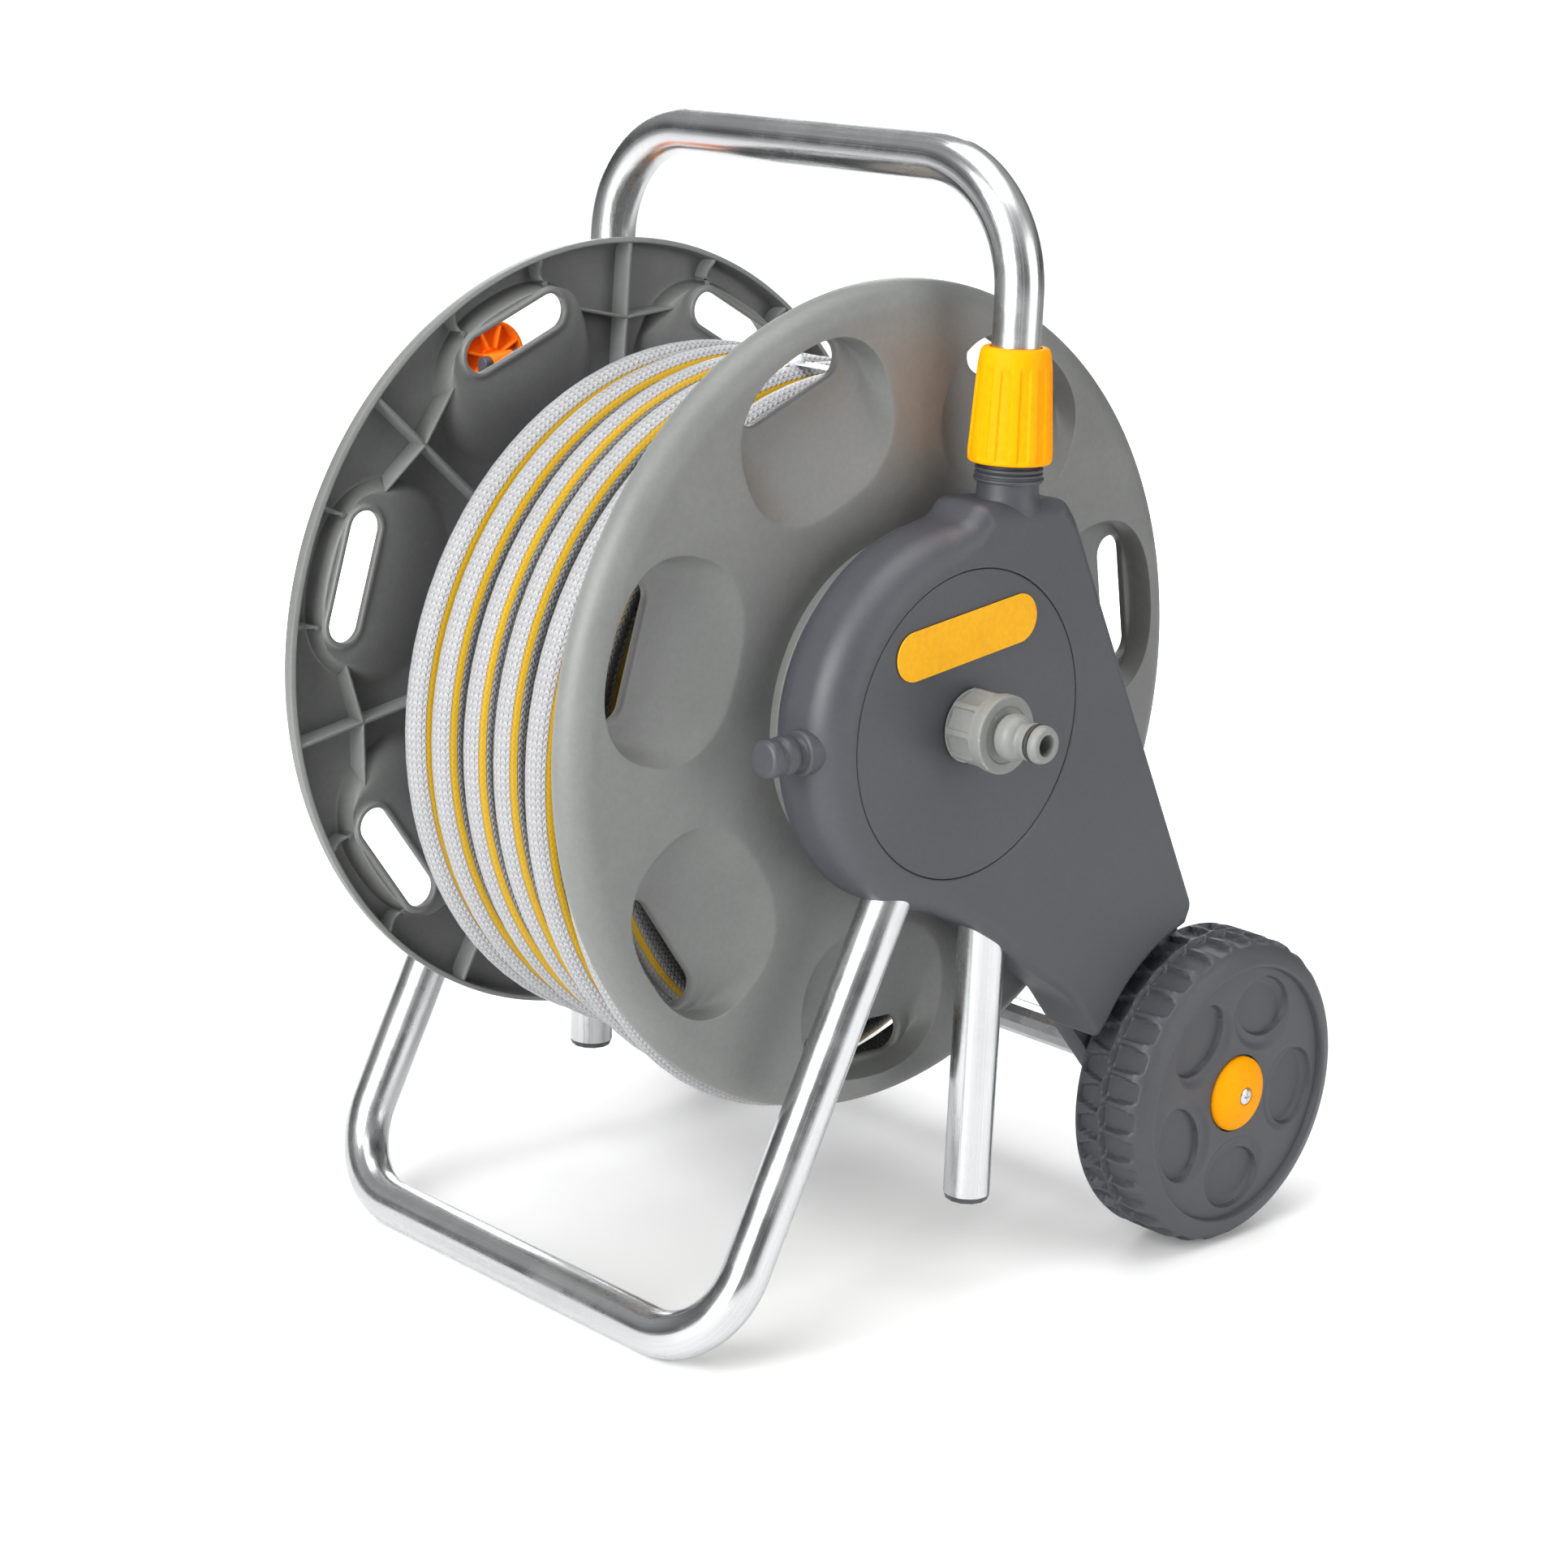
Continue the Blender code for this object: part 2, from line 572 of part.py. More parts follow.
def backing(side, name):
    """The flat cover that closes the panel's inner side, with a hole for the drum's journal."""
    outline, _ = panel_outline()
    shape = offset(outline, WALL + GAP)
    low, high = PANEL_IN_Y + 0.0001, PANEL_IN_Y + 0.0018
    rings = [[Vector((x + DRUM_X, side * y, z + DRUM_Z)) for x, z in shape] for y in (low, high)]
    plate = place(name, loft(rings), "panel")
    hole = turned([(side * 0.11, 0.018 + GAP), (side * 0.13, 0.018 + GAP)], DRUM)
    arch = turned([(side * 0.11, ARCH_R + 0.0045), (side * 0.13, ARCH_R + 0.0045)], (WHEEL_X, 0, WHEEL_R), sides=40)
    return cut(plate, place(name + "_hole", hole), place(name + "_arch", arch))


def face_disc(side, name, hole_r):
    """The round cover plate set into the panel's outer face."""
    low, high = side * (PANEL_OUT_Y - 0.0016), side * (PANEL_OUT_Y - 0.0001)
    return place(name, ring(low, high, hole_r, DISC_R, DRUM, sides=40), "panel")


def bush(side, name):
    """The plain bearing of the drum, flanged against the inside of the backing plate."""
    low, step, high = PANEL_IN_Y - 0.0015, PANEL_IN_Y + 0.0001 - GAP, 0.138
    inner = JOURNAL_R + RUN
    profile = [(side * low, inner), (side * low, 0.021), (side * step, 0.021), (side * step, 0.018)]
    profile += [(side * high, 0.018), (side * high, inner)]
    return place(name, turned(profile, DRUM, closed=True), "white")


def parking_peg():
    """The dummy nipple on the panel's edge, which holds the hose's loose connector."""
    profile = [(-0.012, 0.0102), (0.0025, 0.0102), (0.0035, 0.0068), (0.0065, 0.0068), (0.009, 0.0088)]
    profile += [(0.0135, 0.0088), (0.0155, 0.0074), (0.0175, 0.0074), (0.0180, 0.0085), (0.0225, 0.0085)]
    profile += [(0.0235, 0.0072)]
    return place("parking_peg", turned(profile, peg_base(), (-1, 0, 0), 16), "panel")


def badge():
    """A blank raised plate with round ends, tilted on the face disc."""
    tilt = np.radians(8.3)
    middle = DRUM + Vector((-0.0050, 0, 0.0405))
    rings = []
    for y in (-(PANEL_OUT_Y - 0.0001 + GAP), -(PANEL_OUT_Y + 0.0012)):
        rings.append([
            middle + Vector((b * np.cos(tilt) - a * np.sin(tilt), y, b * np.sin(tilt) + a * np.cos(tilt)))
            for a, b in stadium(0.0445, 0.0112, 6)
        ])
    return place("badge_plate", loft(rings), "yellow")


def inlet():
    """The water inlet: a nut with eight lobes, the nipple that a hose connector snaps on to, and its seal."""
    sides = 32
    lobes = 0.0164 + 0.0008 * np.cos(8 * 2 * np.pi * np.arange(sides) / sides)
    plain = [0.0176] * sides
    rings = []
    for y, radii in ((-0.1526, lobes), (-0.1690, lobes), (-0.1692, plain), (-0.1740, plain)):
        angles = 2 * np.pi * np.arange(sides) / sides
        rings.append([DRUM + Vector((r * np.cos(a), y, r * np.sin(a))) for a, r in zip(angles, radii)])
    nut = place("inlet_nut", loft(rings), "grey")
    cut(nut, place("nut_bore", turned([(-0.15, 0.0078), (-0.18, 0.0078)], DRUM, sides=SMALL)))
    outer = [(-0.1200, 0.0074), (-0.1743, 0.0074), (-0.1748, 0.0085), (-0.1775, 0.0104), (-0.1815, 0.0104)]
    outer += [(-0.1850, 0.0072), (-0.1880, 0.0070), (-0.1882, 0.0084), (-0.1905, 0.0084), (-0.1906, 0.0066)]
    outer += [(-0.1934, 0.0066), (-0.1935, 0.0084), (-0.1970, 0.0084), (-HALF_DEPTH, 0.0076)]
    inner = [(-HALF_DEPTH, 0.0048), (-0.1200, 0.0048)]
    nipple = place("inlet_nipple", turned(outer + inner, DRUM, sides=16, closed=True), "grey")
    seal = [(0.0013 * np.cos(a) - 0.1920, 0.0079 + 0.0009 * np.sin(a)) for a in 2 * np.pi * np.arange(6) / 6]
    place("inlet_seal", turned(seal, DRUM, sides=16, closed=True), "rubber")
    return nipple


# ---- tubes, collars and wheels ----
def handle(axis):
    """The telescopic handle: one tube bent to a U, with a plug in each lower end."""
    x = DRUM_X + HANDLE_DX
    corners = [(x, -LEG_Y, HANDLE_LOW_Z), (x, -LEG_Y, HANDLE_TOP_Z), (x, LEG_Y, HANDLE_TOP_Z), (x, LEG_Y, HANDLE_LOW_Z)]
    place("handle_tube", pipe(rounded_route(corners, HANDLE_BEND), (1, 0, 0)), "tube", axis)
    for side, name in ((-1, "handle_plug_near"), (1, "handle_plug_far")):
        at = (x, side * LEG_Y, HANDLE_LOW_Z)
        inside = TUBE_R - TUBE_WALL - GAP
        profile = [(-0.0028, TUBE_R - 0.001), (-GAP, TUBE_R), (-GAP, inside), (0.012, inside - 0.0005)]
        place(name, turned(profile, at, (0, 0, 1), SMALL), "panel", axis)


def foot_loop():
    """The fixed foot: a tube bent to a U whose legs run up into the panels' sockets."""
    top, low = foot_point(FOOT_TOP_Z), foot_point(TUBE_R)
    shift = Vector((0, LEG_Y, 0))
    route = rounded_route([top - shift, low - shift, low + shift, top + shift], FOOT_BEND)
    normal = foot_direction().cross(Vector((0, 1, 0)))
    return place("foot_loop", pipe(route, normal), "tube")


def collar(side, name, axis):
    """The twist collar that clamps the handle: a tapered sleeve with ten grip ribs."""
    at = Vector((DRUM_X + HANDLE_DX, side * LEG_Y, 0))
    low, high = COLLAR_Z
    profile = [(low, 0.0164), (low, 0.0186), (low + 0.004, 0.0189), (high - 0.003, 0.0162), (high, 0.0152)]
    profile += [(high, TUBE_R + 0.0006), (high - 0.004, TUBE_R + 0.0006), (high - 0.006, 0.0135)]
    return place(name, turned(profile, at, (0, 0, 1), closed=True), "yellow", axis)


def collet(side, name):
    """The slotted ring inside the collar that grips the tube. It stands on the neck."""
    at = Vector((DRUM_X + HANDLE_DX, side * LEG_Y, 0))
    low, high = NECK_TOP_Z + GAP, COLLAR_Z[1] - 0.0085
    inner = TUBE_R + RUN
    profile = [(low, inner), (low, 0.0148), (low + 0.012, 0.0148), (high, 0.0130), (high, inner)]
    return place(name, turned(profile, at, (0, 0, 1), closed=True), "white")


def thread(side, name):
    """The threaded ring on the neck, just under the collar."""
    at = Vector((DRUM_X + HANDLE_DX, side * LEG_Y, 0))
    profile = [(0.3900, NECK_R + GAP), (0.3900, 0.0157), (0.3925, 0.0157), (0.3935, 0.0151), (0.3970, 0.0157)]
    profile += [(0.3970, NECK_R + GAP)]
    return place(name, turned(profile, at, (0, 0, 1), closed=True), "panel")


def wheel(side, names, axis):
    """A moulded wheel with a recessed face, its yellow hub cap and the screw that holds both on the axle."""
    at = Vector((WHEEL_X, 0, WHEEL_R))
    low, high = WHEEL_Y
    bore = AXLE_R + RUN
    shoulder = 0.008
    profile = [(low, bore), (low, 0.024), (low + 0.006, 0.026), (low + 0.006, 0.068), (low, 0.070), (low, 0.0740)]
    profile += [(low + 0.004, WHEEL_R - 0.0008), (low + 0.012, WHEEL_R), (high - 0.016, WHEEL_R)]
    profile += [(high - shoulder, WHEEL_R - 0.0022), (high - 0.002, WHEEL_R - 0.0078), (high, 0.0655)]
    profile += [(high - 0.003, 0.0640), (high - 0.003, 0.0200), (high - 0.005, 0.0195), (high - 0.005, bore)]
    place(names[0], turned([(side * y, r) for y, r in profile], at, sides=32, closed=True), "panel", axis)
    start = high - 0.0047
    cap = [(start, 0.0192), (high - 0.001, 0.0190), (high + 0.0015, 0.0165), (high + 0.003, 0.0100), (high + 0.0034, 0.0045)]
    cap += [(high + 0.0022, 0.0045), (high + 0.0022, 0.0026), (start, 0.0026)]
    place(names[1], turned([(side * y, r) for y, r in cap], at, closed=True), "yellow", axis)
    screw = [(0.1650, 0.0021), (high + 0.0025, 0.0021), (high + 0.0025, 0.0041), (high + 0.0042, 0.0034)]
    place(names[2], turned([(side * y, r) for y, r in screw], at, sides=SMALL), "steel", axis)


def axle():
    """The tube that joins the two legs and carries the wheels, with a plug in each end for the screw."""
    at = Vector((WHEEL_X, 0, WHEEL_R))
    end = 0.1718
    place("wheel_axle", ring(-end, end, AXLE_R - TUBE_WALL, AXLE_R, at, sides=SMALL), "tube")
    for side, name in ((-1, "axle_plug_near"), (1, "axle_plug_far")):
        plug = ring(side * 0.150, side * end, 0.0024, AXLE_R - TUBE_WALL - GAP, at, sides=SMALL)
        place(name, plug, "grey")


def panel_screws(side, label):
    """Three screws that hold the backing plate to the panel, heads on the drum's side."""
    for i, (x, z) in enumerate(((-0.070, 0.020), (-0.020, -0.070), (0.075, 0.020))):
        at = DRUM + Vector((x, 0, z))
        head = PANEL_IN_Y + 0.0001 - GAP
        profile = [(side * (head - 0.0018), 0.0030), (side * head, 0.0042)]
        place(f"panel_screw_{label}_{i + 1}", turned(profile, at, sides=12), "steel")


def build():
    clear_scene()
    drum_axis = joint_axis("drum_axis", DRUM)
    fold_axis = joint_axis("knob_fold_axis", crank_pin())
    knob_axis = joint_axis("knob_axis", crank_pin())
    handle_axis = joint_axis("handle_axis", (DRUM_X + HANDLE_DX, 0, HANDLE_LOW_Z))
    flange(-1, "flange_near", drum_axis)
    flange(1, "flange_far", drum_axis)
    drum_core(drum_axis)
    spindle(drum_axis)
    water_elbow(drum_axis)
    hose_tail(drum_axis)
    hose_coil(drum_axis)
    crank_shaft(drum_axis)
    crank_arm(drum_axis)
    crank_screw(drum_axis)
    knob_parts(fold_axis, knob_axis)
    for side, label in ((-1, "near"), (1, "far")):
        side_panel(side, f"side_panel_{label}")
        backing(side, f"panel_back_{label}")
        face_disc(side, f"face_disc_{label}", 0.0081 if side < 0 else JOURNAL_R + 0.001)
        bush(side, f"drum_bush_{label}")
        collet(side, f"collet_{label}")
        thread(side, f"neck_thread_{label}")
        collar_axis = joint_axis(f"collar_axis_{label}", (DRUM_X + HANDLE_DX, side * LEG_Y, COLLAR_Z[0]))
        collar(side, f"collar_{label}", collar_axis)
        wheel_axis = joint_axis(f"wheel_axis_{label}", (WHEEL_X, side * WHEEL_Y[0], WHEEL_R))
        wheel(side, (f"wheel_{label}", f"hub_cap_{label}", f"wheel_screw_{label}"), wheel_axis)
        panel_screws(side, label)
    parking_peg()
    badge()
    inlet()
    handle(handle_axis)
    foot_loop()
    axle()


build()
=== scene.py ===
"""The looks of the garden hose reel cart: fine surfaces, the wound hose, finishes, lights and camera.

Everything is in metres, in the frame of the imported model: +Z up, the drum axis along Y, the water
inlet on the -Y side, the wheels towards +X.
"""

import json

import bmesh
import bpy
import numpy as np
from bpy.props import FloatProperty, FloatVectorProperty, IntProperty, PointerProperty
from mathutils import Matrix, Vector

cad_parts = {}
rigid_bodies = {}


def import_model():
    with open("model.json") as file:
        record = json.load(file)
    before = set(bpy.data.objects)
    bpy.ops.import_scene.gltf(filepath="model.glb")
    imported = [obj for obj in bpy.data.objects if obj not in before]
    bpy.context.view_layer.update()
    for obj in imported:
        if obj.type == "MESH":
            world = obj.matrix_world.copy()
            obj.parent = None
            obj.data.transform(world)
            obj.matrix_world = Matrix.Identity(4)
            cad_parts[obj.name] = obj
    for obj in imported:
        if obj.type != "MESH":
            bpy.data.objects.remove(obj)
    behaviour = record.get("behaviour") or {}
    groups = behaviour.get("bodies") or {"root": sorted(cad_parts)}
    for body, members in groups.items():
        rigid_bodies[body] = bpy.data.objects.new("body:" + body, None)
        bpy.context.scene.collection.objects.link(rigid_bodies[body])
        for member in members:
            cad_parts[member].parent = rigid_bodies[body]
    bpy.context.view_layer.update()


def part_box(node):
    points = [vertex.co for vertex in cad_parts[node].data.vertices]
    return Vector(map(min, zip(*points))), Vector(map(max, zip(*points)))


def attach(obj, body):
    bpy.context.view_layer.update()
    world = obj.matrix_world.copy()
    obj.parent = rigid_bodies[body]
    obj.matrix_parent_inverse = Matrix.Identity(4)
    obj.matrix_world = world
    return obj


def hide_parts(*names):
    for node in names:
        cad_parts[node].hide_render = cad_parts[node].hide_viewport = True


for left_over in list(bpy.data.objects):
    bpy.data.objects.remove(left_over)

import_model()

bl_info = {
    "name": "Garden hose reel cart",
    "version": (1, 0, 0),
    "blender": (4, 5, 0),
    "location": "View3D > Sidebar > Hose cart",
    "description": "Builds the visible surfaces and finishes of a garden hose reel cart",
    "category": "Object",
}


# ---- places read from the frame ----
def middle(node):
    low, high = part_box(node)
    return (np.array(low) + np.array(high)) / 2


DRUM_X, _, DRUM_Z = (float(v) for v in middle("drum_core"))
DRUM = np.array([DRUM_X, 0.0, DRUM_Z])
WHEEL_X, _, WHEEL_Z = (float(v) for v in middle("wheel_axle"))
HANDLE_X = float(middle("collar_near")[0])
LEG_Y = abs(float(middle("collar_near")[1]))
FLANGE_R = float(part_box("flange_near")[1][2]) - DRUM_Z
SIDES = ((-1, "near"), (1, "far"))


class CartSizes(bpy.types.PropertyGroup):
    """Sizes that a maker would change, in metres."""

    hose_diameter: FloatProperty(
        name="Hose diameter", description="Outside diameter of the hose", default=0.017, unit="LENGTH")
    hose_layers: IntProperty(name="Layers", description="Layers of hose on the drum", default=5, min=1)
    pocket_count: IntProperty(name="Pockets", description="Finger pockets in a flange", default=7, min=3)
    tread_count: IntProperty(name="Tread pockets", description="Pockets in one row of the tread", default=32)
    skin: FloatProperty(name="Skin", description="Wall of a moulded flange", default=0.0026, unit="LENGTH")


class CartColours(bpy.types.PropertyGroup):
    """Colours of the mouldings and the hose."""

    drum: FloatVectorProperty(
        name="Drum", description="Mid-grey moulding", default=(0.166, 0.171, 0.166), subtype="COLOR")
    panel: FloatVectorProperty(
        name="Panel", description="Slate moulding", default=(0.055, 0.057, 0.066), subtype="COLOR")
    yellow: FloatVectorProperty(
        name="Yellow", description="Collars and caps", default=(0.95, 0.345, 0.0), subtype="COLOR")
    orange: FloatVectorProperty(
        name="Orange", description="Crank knob", default=(0.93, 0.20, 0.01), subtype="COLOR")
    connector: FloatVectorProperty(
        name="Connector", description="Water connectors", default=(0.20, 0.205, 0.195), subtype="COLOR")
    hose: FloatVectorProperty(
        name="Hose", description="Knitted hose", default=(0.40, 0.40, 0.41), subtype="COLOR")
    stripe: FloatVectorProperty(
        name="Stripe", description="Line along the hose", default=(0.50, 0.30, 0.01), subtype="COLOR")


# ---- surfaces ----
def grid(points, wrap_u=False, wrap_v=False, keep=None, uv=None):
    """A surface from points[u, v]: every cell of the grid is a quad, and wrap closes a direction.

    keep[u, v] drops cells. uv(u index, v index) gives the corners' texture coordinates.
    """
    nu, nv = points.shape[:2]
    i = np.arange(nu if wrap_u else nu - 1)[:, None]
    j = np.arange(nv if wrap_v else nv - 1)[None, :]
    i, j = np.broadcast_arrays(i, j)
    if keep is not None:
        chosen = keep[: i.shape[0], : i.shape[1]]
        i, j = i[chosen], j[chosen]
    corners = [(i, j), (i, j + 1), (i + 1, j + 1), (i + 1, j)]
    quads = np.stack([(a % nu) * nv + b % nv for a, b in corners], -1).reshape(-1, 4)
    coords = None
    if uv is not None:
        coords = np.stack([np.stack(uv(a, b), -1) for a, b in corners], -2).reshape(-1, 4, 2)
    return {"points": points.reshape(-1, 3), "quads": quads, "uv": coords}


def flipped(surface):
    """The same surface with its faces turned over."""
    uv = surface["uv"]
    return {"points": surface["points"], "quads": surface["quads"][:, ::-1],
            "uv": None if uv is None else uv[:, ::-1]}


def mirrored(surfaces):
    """The surfaces mirrored through the middle plane Y = 0, still facing out."""
    return [flipped({**s, "points": s["points"] * (1, -1, 1)}) for s in surfaces]


def on_side(surfaces, side):
    """The surfaces as they are for the far side, and mirrored for the near side."""
    return surfaces if side > 0 else mirrored(surfaces)


def piece(name, surfaces, finish, body, nodes=(), outward=True, sharp=32.0):
    """Joins surfaces into one object that rides on a body and stands for CAD nodes."""
    starts = np.cumsum([0] + [len(s["points"]) for s in surfaces])
    points = np.concatenate([s["points"] for s in surfaces])
    quads = np.concatenate([s["quads"] + start for s, start in zip(surfaces, starts)])
    mesh = bpy.data.meshes.new(name)
    mesh.vertices.add(len(points))
    mesh.vertices.foreach_set("co", points.astype(np.float32).ravel())
    mesh.loops.add(quads.size)
    mesh.loops.foreach_set("vertex_index", quads.astype(np.int32).ravel())
    mesh.polygons.add(len(quads))
    mesh.polygons.foreach_set("loop_start", np.arange(0, quads.size, 4, dtype=np.int32))
    if any(s["uv"] is not None for s in surfaces):
        layer = mesh.uv_layers.new(name="UVMap")
        coords = [np.zeros((len(s["quads"]), 4, 2)) if s["uv"] is None else s["uv"] for s in surfaces]
        layer.data.foreach_set("uv", np.concatenate(coords).astype(np.float32).ravel())
    mesh.update(calc_edges=True)
    mesh.validate()
    shape = bmesh.new()
    shape.from_mesh(mesh)
    bmesh.ops.remove_doubles(shape, verts=shape.verts, dist=2e-6)
    bmesh.ops.dissolve_degenerate(shape, edges=shape.edges, dist=1e-7)
    if outward:
        bmesh.ops.recalc_face_normals(shape, faces=shape.faces)
    shape.to_mesh(mesh)
    shape.free()
    mesh.materials.append(finish)
    mesh.shade_smooth()
    mesh.set_sharp_from_angle(angle=np.radians(sharp))
    made = bpy.data.objects.new(name, mesh)
    bpy.context.scene.collection.objects.link(made)
    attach(made, body)
    if nodes:
        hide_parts(*([nodes] if isinstance(nodes, str) else nodes))
    return made


def soften(corners, radius, steps=4, closed=False):
    """A polyline with each corner replaced by a quadratic curve that starts radius before the corner."""
    corners = np.asarray(corners, float)
    radii = np.broadcast_to(radius, len(corners))
    count = len(corners)
    out = []
    for i, corner in enumerate(corners):
        if not closed and i in (0, count - 1):
            out.append(corner[None])
            continue
        before, after = corners[i - 1], corners[(i + 1) % count]
        back, ahead = before - corner, after - corner
        reach = [min(radii[i], 0.49 * np.linalg.norm(v)) for v in (back, ahead)]
        start = corner + back / np.linalg.norm(back) * reach[0]
        end = corner + ahead / np.linalg.norm(ahead) * reach[1]
        t = np.linspace(0, 1, steps + 1)[:, None]
        out.append((1 - t) ** 2 * start + 2 * t * (1 - t) * corner + t ** 2 * end)
    return np.concatenate(out)


def axes_of(along):
    """Two unit vectors square to a direction, the first as near +X as it can be."""
    along = np.asarray(along, float) / np.linalg.norm(along)
    guide = np.array([1.0, 0, 0]) if abs(along[0]) < 0.9 else np.array([0, 0, 1.0])
    first = guide - along * guide.dot(along)
    first /= np.linalg.norm(first)
    return along, first, np.cross(along, first)


def lathe(profile, at, along=(0, 1, 0), sides=64, closed=False, wave=None, start=0.0):
    """A turned surface: point = at + along * t + (first * cos a + second * sin a) * r for (t, r) in profile.

    wave(t, r, a) gives a radius instead of r, for lobes and ribs. closed joins the last ring to the first.
    """
    along, first, second = axes_of(along)
    profile = np.asarray(profile, float)
    t, r = profile[:, :1], profile[:, 1:]
    a = start + 2 * np.pi * np.arange(sides)[None, :] / sides
    radius = r + 0 * a if wave is None else wave(t, r, a)
    spot = np.asarray(at, float) + along * t[:, :, None] + 0 * a[:, :, None]
    points = spot + first * (radius * np.cos(a))[:, :, None] + second * (radius * np.sin(a))[:, :, None]
    return grid(points, wrap_u=closed, wrap_v=True)


def plate(outline, low, high, to_world, edge=0.0006):
    """A flat plate from an outline of (a, b): rings at both faces, drawn in by edge, with closed caps.

    to_world(a, b, h) places it. The caps are rings that shrink to the outline's middle.
    """
    outline = np.asarray(outline, float)
    centre = outline.mean(0)
    span = np.linalg.norm(outline - centre, axis=1, keepdims=True)
    inner = centre + (outline - centre) * (1 - edge / span)
    rings = [(centre + 0 * outline, low), (inner, low), (outline, low + edge), (outline, high - edge),
             (inner, high), (centre + 0 * outline, high)]
    points = np.stack([to_world(ring[:, 0], ring[:, 1], h) for ring, h in rings])
    return grid(points, wrap_v=True)


def sweep(path, radius, across, up, sides=32, wrap=False, uv=None):
    """A round tube: point = path + (across * cos a + up * sin a) * radius, with across and up given per point."""
    a = 2 * np.pi * np.arange(sides)[None, :, None] / sides
    radius = np.broadcast_to(np.asarray(radius, float), (len(path),))[:, None, None]
    points = path[:, None] + (across[:, None] * np.cos(a) + up[:, None] * np.sin(a)) * radius
    return grid(points, wrap_u=wrap, wrap_v=True, uv=uv)


def bent_route(corners, bend, step=0.004):
    """The middle line of a bent tube: straight runs, and an arc of radius bend at each inner corner."""
    corners = [Vector(c) for c in corners]
    route = [corners[0]]
    for before, corner, after in zip(corners, corners[1:], corners[2:]):
        back, ahead = (before - corner).normalized(), (after - corner).normalized()
        half = back.angle(ahead) / 2
        centre = corner + (back + ahead).normalized() * bend / np.sin(half)
        start = (corner + back * bend / np.tan(half) - centre).normalized()
        end = (corner + ahead * bend / np.tan(half) - centre).normalized()
        count = int(np.ceil(bend * start.angle(end) / step))
        route += [centre + start.slerp(end, i / count) * bend for i in range(count + 1)]
    route.append(corners[-1])
    return np.array([tuple(p) for p in route])


# ---- nodes ----
def add(tree, kind, inputs=None, **settings):
    """A node with its settings and inputs. An input that is a socket is linked."""
    node = tree.nodes.new(kind)
    for key, value in settings.items():
        setattr(node, key, value)
    for key, value in (inputs or {}).items():
        if isinstance(value, bpy.types.NodeSocket):
            tree.links.new(value, node.inputs[key])
        else:
            node.inputs[key].default_value = value
    return node


def maths(tree, operation, first, second=0.0, third=0.0, clamp=False):
    return add(tree, "ShaderNodeMath", {0: first, 1: second, 2: third}, operation=operation,
               use_clamp=clamp).outputs[0]


def blend_colour(tree, amount, first, second, kind="MIX"):
    mix = add(tree, "ShaderNodeMix", data_type="RGBA", blend_type=kind)
    for key, value in ((0, amount), (6, first), (7, second)):
        if isinstance(value, bpy.types.NodeSocket):
            tree.links.new(value, mix.inputs[key])
        else:
            mix.inputs[key].default_value = value
    return mix.outputs[2]


def ramp(tree, value, low, high, to_low=0.0, to_high=1.0):
    """A smooth step of a value from one range to another."""
    inputs = {"Value": value, "From Min": low, "From Max": high, "To Min": to_low, "To Max": to_high}
    return add(tree, "ShaderNodeMapRange", inputs, interpolation_type="SMOOTHSTEP").outputs["Result"]


def noise(tree, where, scale, detail=2.0, roughness=0.5):
    inputs = {"Vector": where, "Scale": scale, "Detail": detail, "Roughness": roughness}
    return add(tree, "ShaderNodeTexNoise", inputs).outputs["Fac"]


def new_group(name, inputs, outputs):
    """An empty shader group with named sockets, and its two end nodes."""
    group = bpy.data.node_groups.new(name, "ShaderNodeTree")
    for label, kind, value in inputs:
        socket = group.interface.new_socket(label, in_out="INPUT", socket_type=kind)
        socket.default_value = value
    for label, kind in outputs:
        group.interface.new_socket(label, in_out="OUTPUT", socket_type=kind)
    return group, add(group, "NodeGroupInput"), add(group, "NodeGroupOutput")


def moulded_group():
    """Moulded plastic: fine spark grain, faint flow mottling, and a painted highlight that lightens convex edges."""
    group, given, out = new_group(
        "Moulded plastic",
        [("Colour", "NodeSocketColor", (0.2, 0.2, 0.2, 1)), ("Grain", "NodeSocketFloat", 0.25),
         ("Roughness", "NodeSocketFloat", 0.45), ("Painted edge highlight", "NodeSocketFloat", 0.3)],
        [("Colour", "NodeSocketColor"), ("Roughness", "NodeSocketFloat"), ("Normal", "NodeSocketVector")],
    )
    where = add(group, "ShaderNodeTexCoord").outputs["Object"]
    flow = noise(group, where, 14.0, 4.0, 0.6)
    speck = noise(group, where, 420.0, 2.0, 0.6)
    grain = noise(group, where, 1500.0, 3.0, 0.7)
    # Painted edge highlight: on convex edges, found by pointiness, the colour is mixed towards pale grey.
    painted_edge_highlight = ramp(group, add(group, "ShaderNodeNewGeometry").outputs["Pointiness"], 0.515, 0.60)
    painted_edge_highlight = maths(group, "MULTIPLY", painted_edge_highlight, given.outputs["Painted edge highlight"])
    shade = ramp(group, flow, 0.3, 0.7, 0.93, 1.07)
    shade = maths(group, "MULTIPLY", shade, ramp(group, speck, 0.3, 0.7, 0.965, 1.035))
    tone = add(group, "ShaderNodeCombineColor", {0: shade, 1: shade, 2: shade}).outputs[0]
    colour = blend_colour(group, 1.0, given.outputs["Colour"], tone, "MULTIPLY")
    colour = blend_colour(group, painted_edge_highlight, colour, blend_colour(group, 0.35, colour, (0.75, 0.76, 0.78, 1)))
    group.links.new(colour, out.inputs["Colour"])
    rough = maths(group, "ADD", given.outputs["Roughness"], ramp(group, flow, 0.2, 0.8, -0.05, 0.06))
    rough = maths(group, "ADD", rough, ramp(group, grain, 0.3, 0.7, -0.03, 0.03))
    group.links.new(rough, out.inputs["Roughness"])
    height = maths(group, "ADD", grain, maths(group, "MULTIPLY", flow, 0.6))
    bump = add(group, "ShaderNodeBump", {"Height": height, "Strength": given.outputs["Grain"], "Distance": 0.00035})
    group.links.new(bump.outputs["Normal"], out.inputs["Normal"])
    return group


